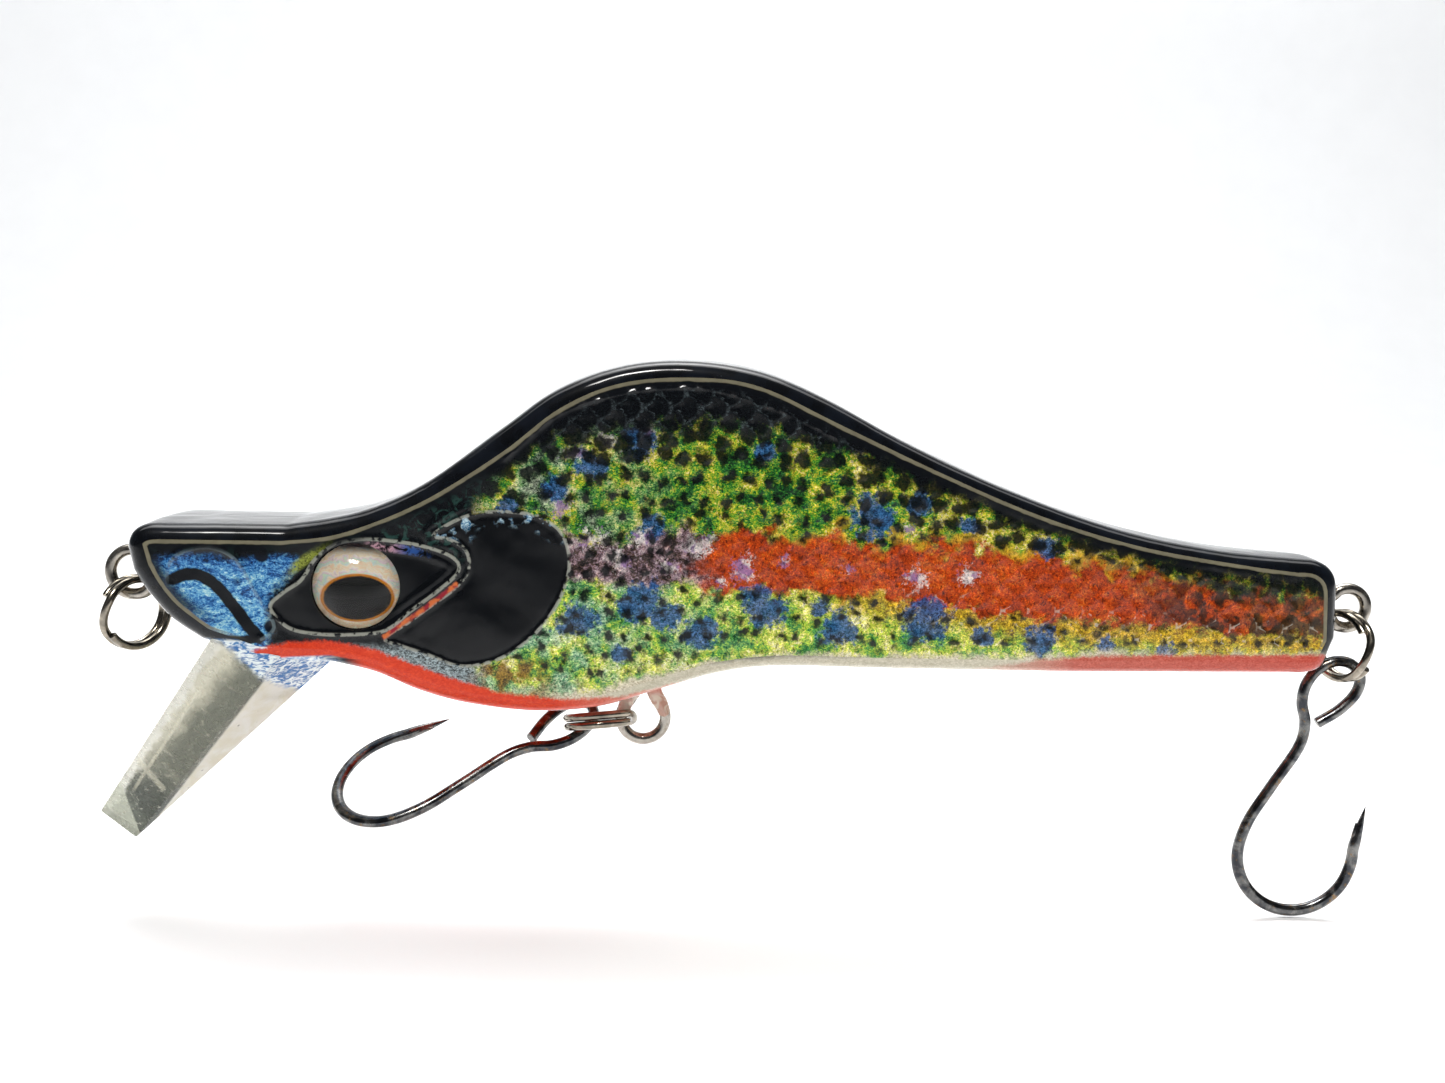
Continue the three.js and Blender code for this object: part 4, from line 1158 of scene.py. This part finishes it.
def metal(name, dark, light, stain, rough=(0.14, 0.34)):
    """Wire: a finely rough surface, small pits and a patchy tarnish."""
    p = Paint(name)
    cloud = p.noise(0.8, 3.0, 0.6, 0.5)
    tone = p.mix(p.smooth(cloud, 0.35, 0.65), dark, light)
    tone = p.mix(p.times(p.smooth(p.noise(1.7, 3.0, 0.65), 0.56, 0.7), 0.6), tone, stain)
    pits = p.smooth(p.cells(3.5, random=1.0).outputs["Distance"], 0.2, 0.08)
    height = p.add(p.times(p.noise(7.0, 3.0), 0.5), p.times(pits, -0.6))
    return p.finish(Base_Color=tone, Metallic=1.0, Roughness=p.smooth(cloud, 0.3, 0.7, *rough),
                    Normal=p.bump(height, 0.008, 0.35))


def rough_solid(name, dark, light, metallic, scale):
    """Hidden pieces: cast lead and turned beech."""
    p = Paint(name)
    grain = p.noise(scale, 4.0, 0.65, 0.6, p.stretch((1.0, 0.25, 1.0)))
    return p.finish(Base_Color=p.mix(p.smooth(grain, 0.35, 0.65), dark, light),
                    Metallic=metallic, Roughness=p.smooth(grain, 0.3, 0.7, 0.5, 0.75),
                    Normal=p.bump(grain, 0.1, 0.6))


# ---------------------------------------------------------------- studio
def stage():
    """A pale floor that sweeps up behind the lure."""
    floor_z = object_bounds()[0][2] - 0.0002
    profile = [(-1.6, 0)] + [(0.55 + 0.25 * math.sin(a), 0.25 - 0.25 * math.cos(a))
                             for a in np.linspace(0, math.pi / 2, 16)] + [(0.8, 1.6)]
    mesh = bpy.data.meshes.new("sweep")
    verts = [(x, y, floor_z + z) for x in (-1.6, 1.7) for y, z in profile]
    count = len(profile)
    mesh.from_pydata(verts, [], [(i, i + 1, count + i + 1, count + i) for i in range(count - 1)])
    mesh.shade_smooth()
    p = Paint("paper")
    tone = p.mix(p.noise(0.05, 2.0), "f4f5f6", "f9fafb")
    mesh.materials.append(p.finish(Base_Color=tone, Roughness=0.85, Normal=p.bump(p.noise(1.5), 0.05, 0.2)))
    floor = bpy.data.objects.new("floor", mesh)
    bpy.context.scene.collection.objects.link(floor)
    floor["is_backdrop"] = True


def softbox(name, position, target, size, power, spread, tone=(1, 1, 1)):
    light = bpy.data.lights.new(name, "AREA")
    light.shape, light.size, light.size_y = "RECTANGLE", *size
    light.energy, light.color, light.spread = power, tone, math.radians(spread)
    obj = bpy.data.objects.new(name, light)
    obj.location = position
    obj.rotation_euler = (Vector(target) - Vector(position)).to_track_quat("-Z", "Y").to_euler()
    bpy.context.scene.collection.objects.link(obj)


def lights():
    middle = (0.05, 0, 0)
    softbox("top", (0.05, 0.28, 0.62), (0.05, 0.12, 0), (0.9, 0.3), 1.1, 60)
    softbox("behind", (0.05, 0.2, 0.9), (0.05, 0.8, 0.1), (1.6, 0.5), 8, 140)
    softbox("front", (-0.05, -0.45, 0.6), middle, (0.6, 0.11), 0.26, 24, (1, 0.98, 0.95))
    world = bpy.data.worlds.new("studio")
    world.use_nodes = True
    world.node_tree.nodes["Background"].inputs[0].default_value = (0.93, 0.96, 1.0, 1)
    world.node_tree.nodes["Background"].inputs[1].default_value = 0.1
    bpy.context.scene.world = world


def camera():
    """The photographer's place: level with the flank, a little above, slightly turned."""
    sensor_width, lens = 36, 35.128
    position, target = Vector((45.212, -118.505, 19.190)), Vector((49.351, 0, 3.579))
    roll, yaw = math.radians(1.45), math.radians(-2)
    forward = (target - position).normalized()
    level = Vector((math.cos(yaw), math.sin(yaw), 0))
    rise = level.cross(forward)
    right = level * math.cos(roll) + rise * math.sin(roll)
    up = rise * math.cos(roll) - level * math.sin(roll)
    data = bpy.data.cameras.new("camera")
    data.sensor_width = sensor_width
    data.lens = lens
    data.clip_start = 0.005
    obj = bpy.data.objects.new("camera", data)
    obj.matrix_world = Matrix((right, up, -forward)).transposed().to_4x4()
    obj.location = position * MM
    bpy.context.scene.collection.objects.link(obj)
    bpy.context.scene.camera = obj


camera()
finishes = {
    "print": trout_print(), "lacquer": black_lacquer(), "iris": iris_foil(), "clear": clear_dome(),
    "acrylic": acrylic(), "neck_coat": neck_coat(),
    "stainless": metal("stainless", "86817a", "b6b0a6", "8a8072", (0.14, 0.28)),
    "ring_steel": metal("ring_steel", "7a746a", "a8a092", "8a7c66", (0.12, 0.24)),
    "hook_steel": metal("hook_steel", "404246", "7c7c7a", "8c6a3a", (0.16, 0.3)),
}
body(finishes)
hardware(finishes)
epoxy(finishes)
eyes(finishes)
lip(finishes)
lead = rough_solid("lead", "3f4247", "6d7176", 1.0, 1.2)
beech = rough_solid("beech", "8a6238", "c39a66", 0.0, 2.0)
for node, material in (("front_ballast", lead), ("rear_ballast", lead), ("shoulder_dowel", beech),
                       ("tail_dowel", beech)):
    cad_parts[node].data.materials.clear()
    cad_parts[node].data.materials.append(material)
stage()
lights()
bpy.context.scene.view_settings.view_transform = "Standard"
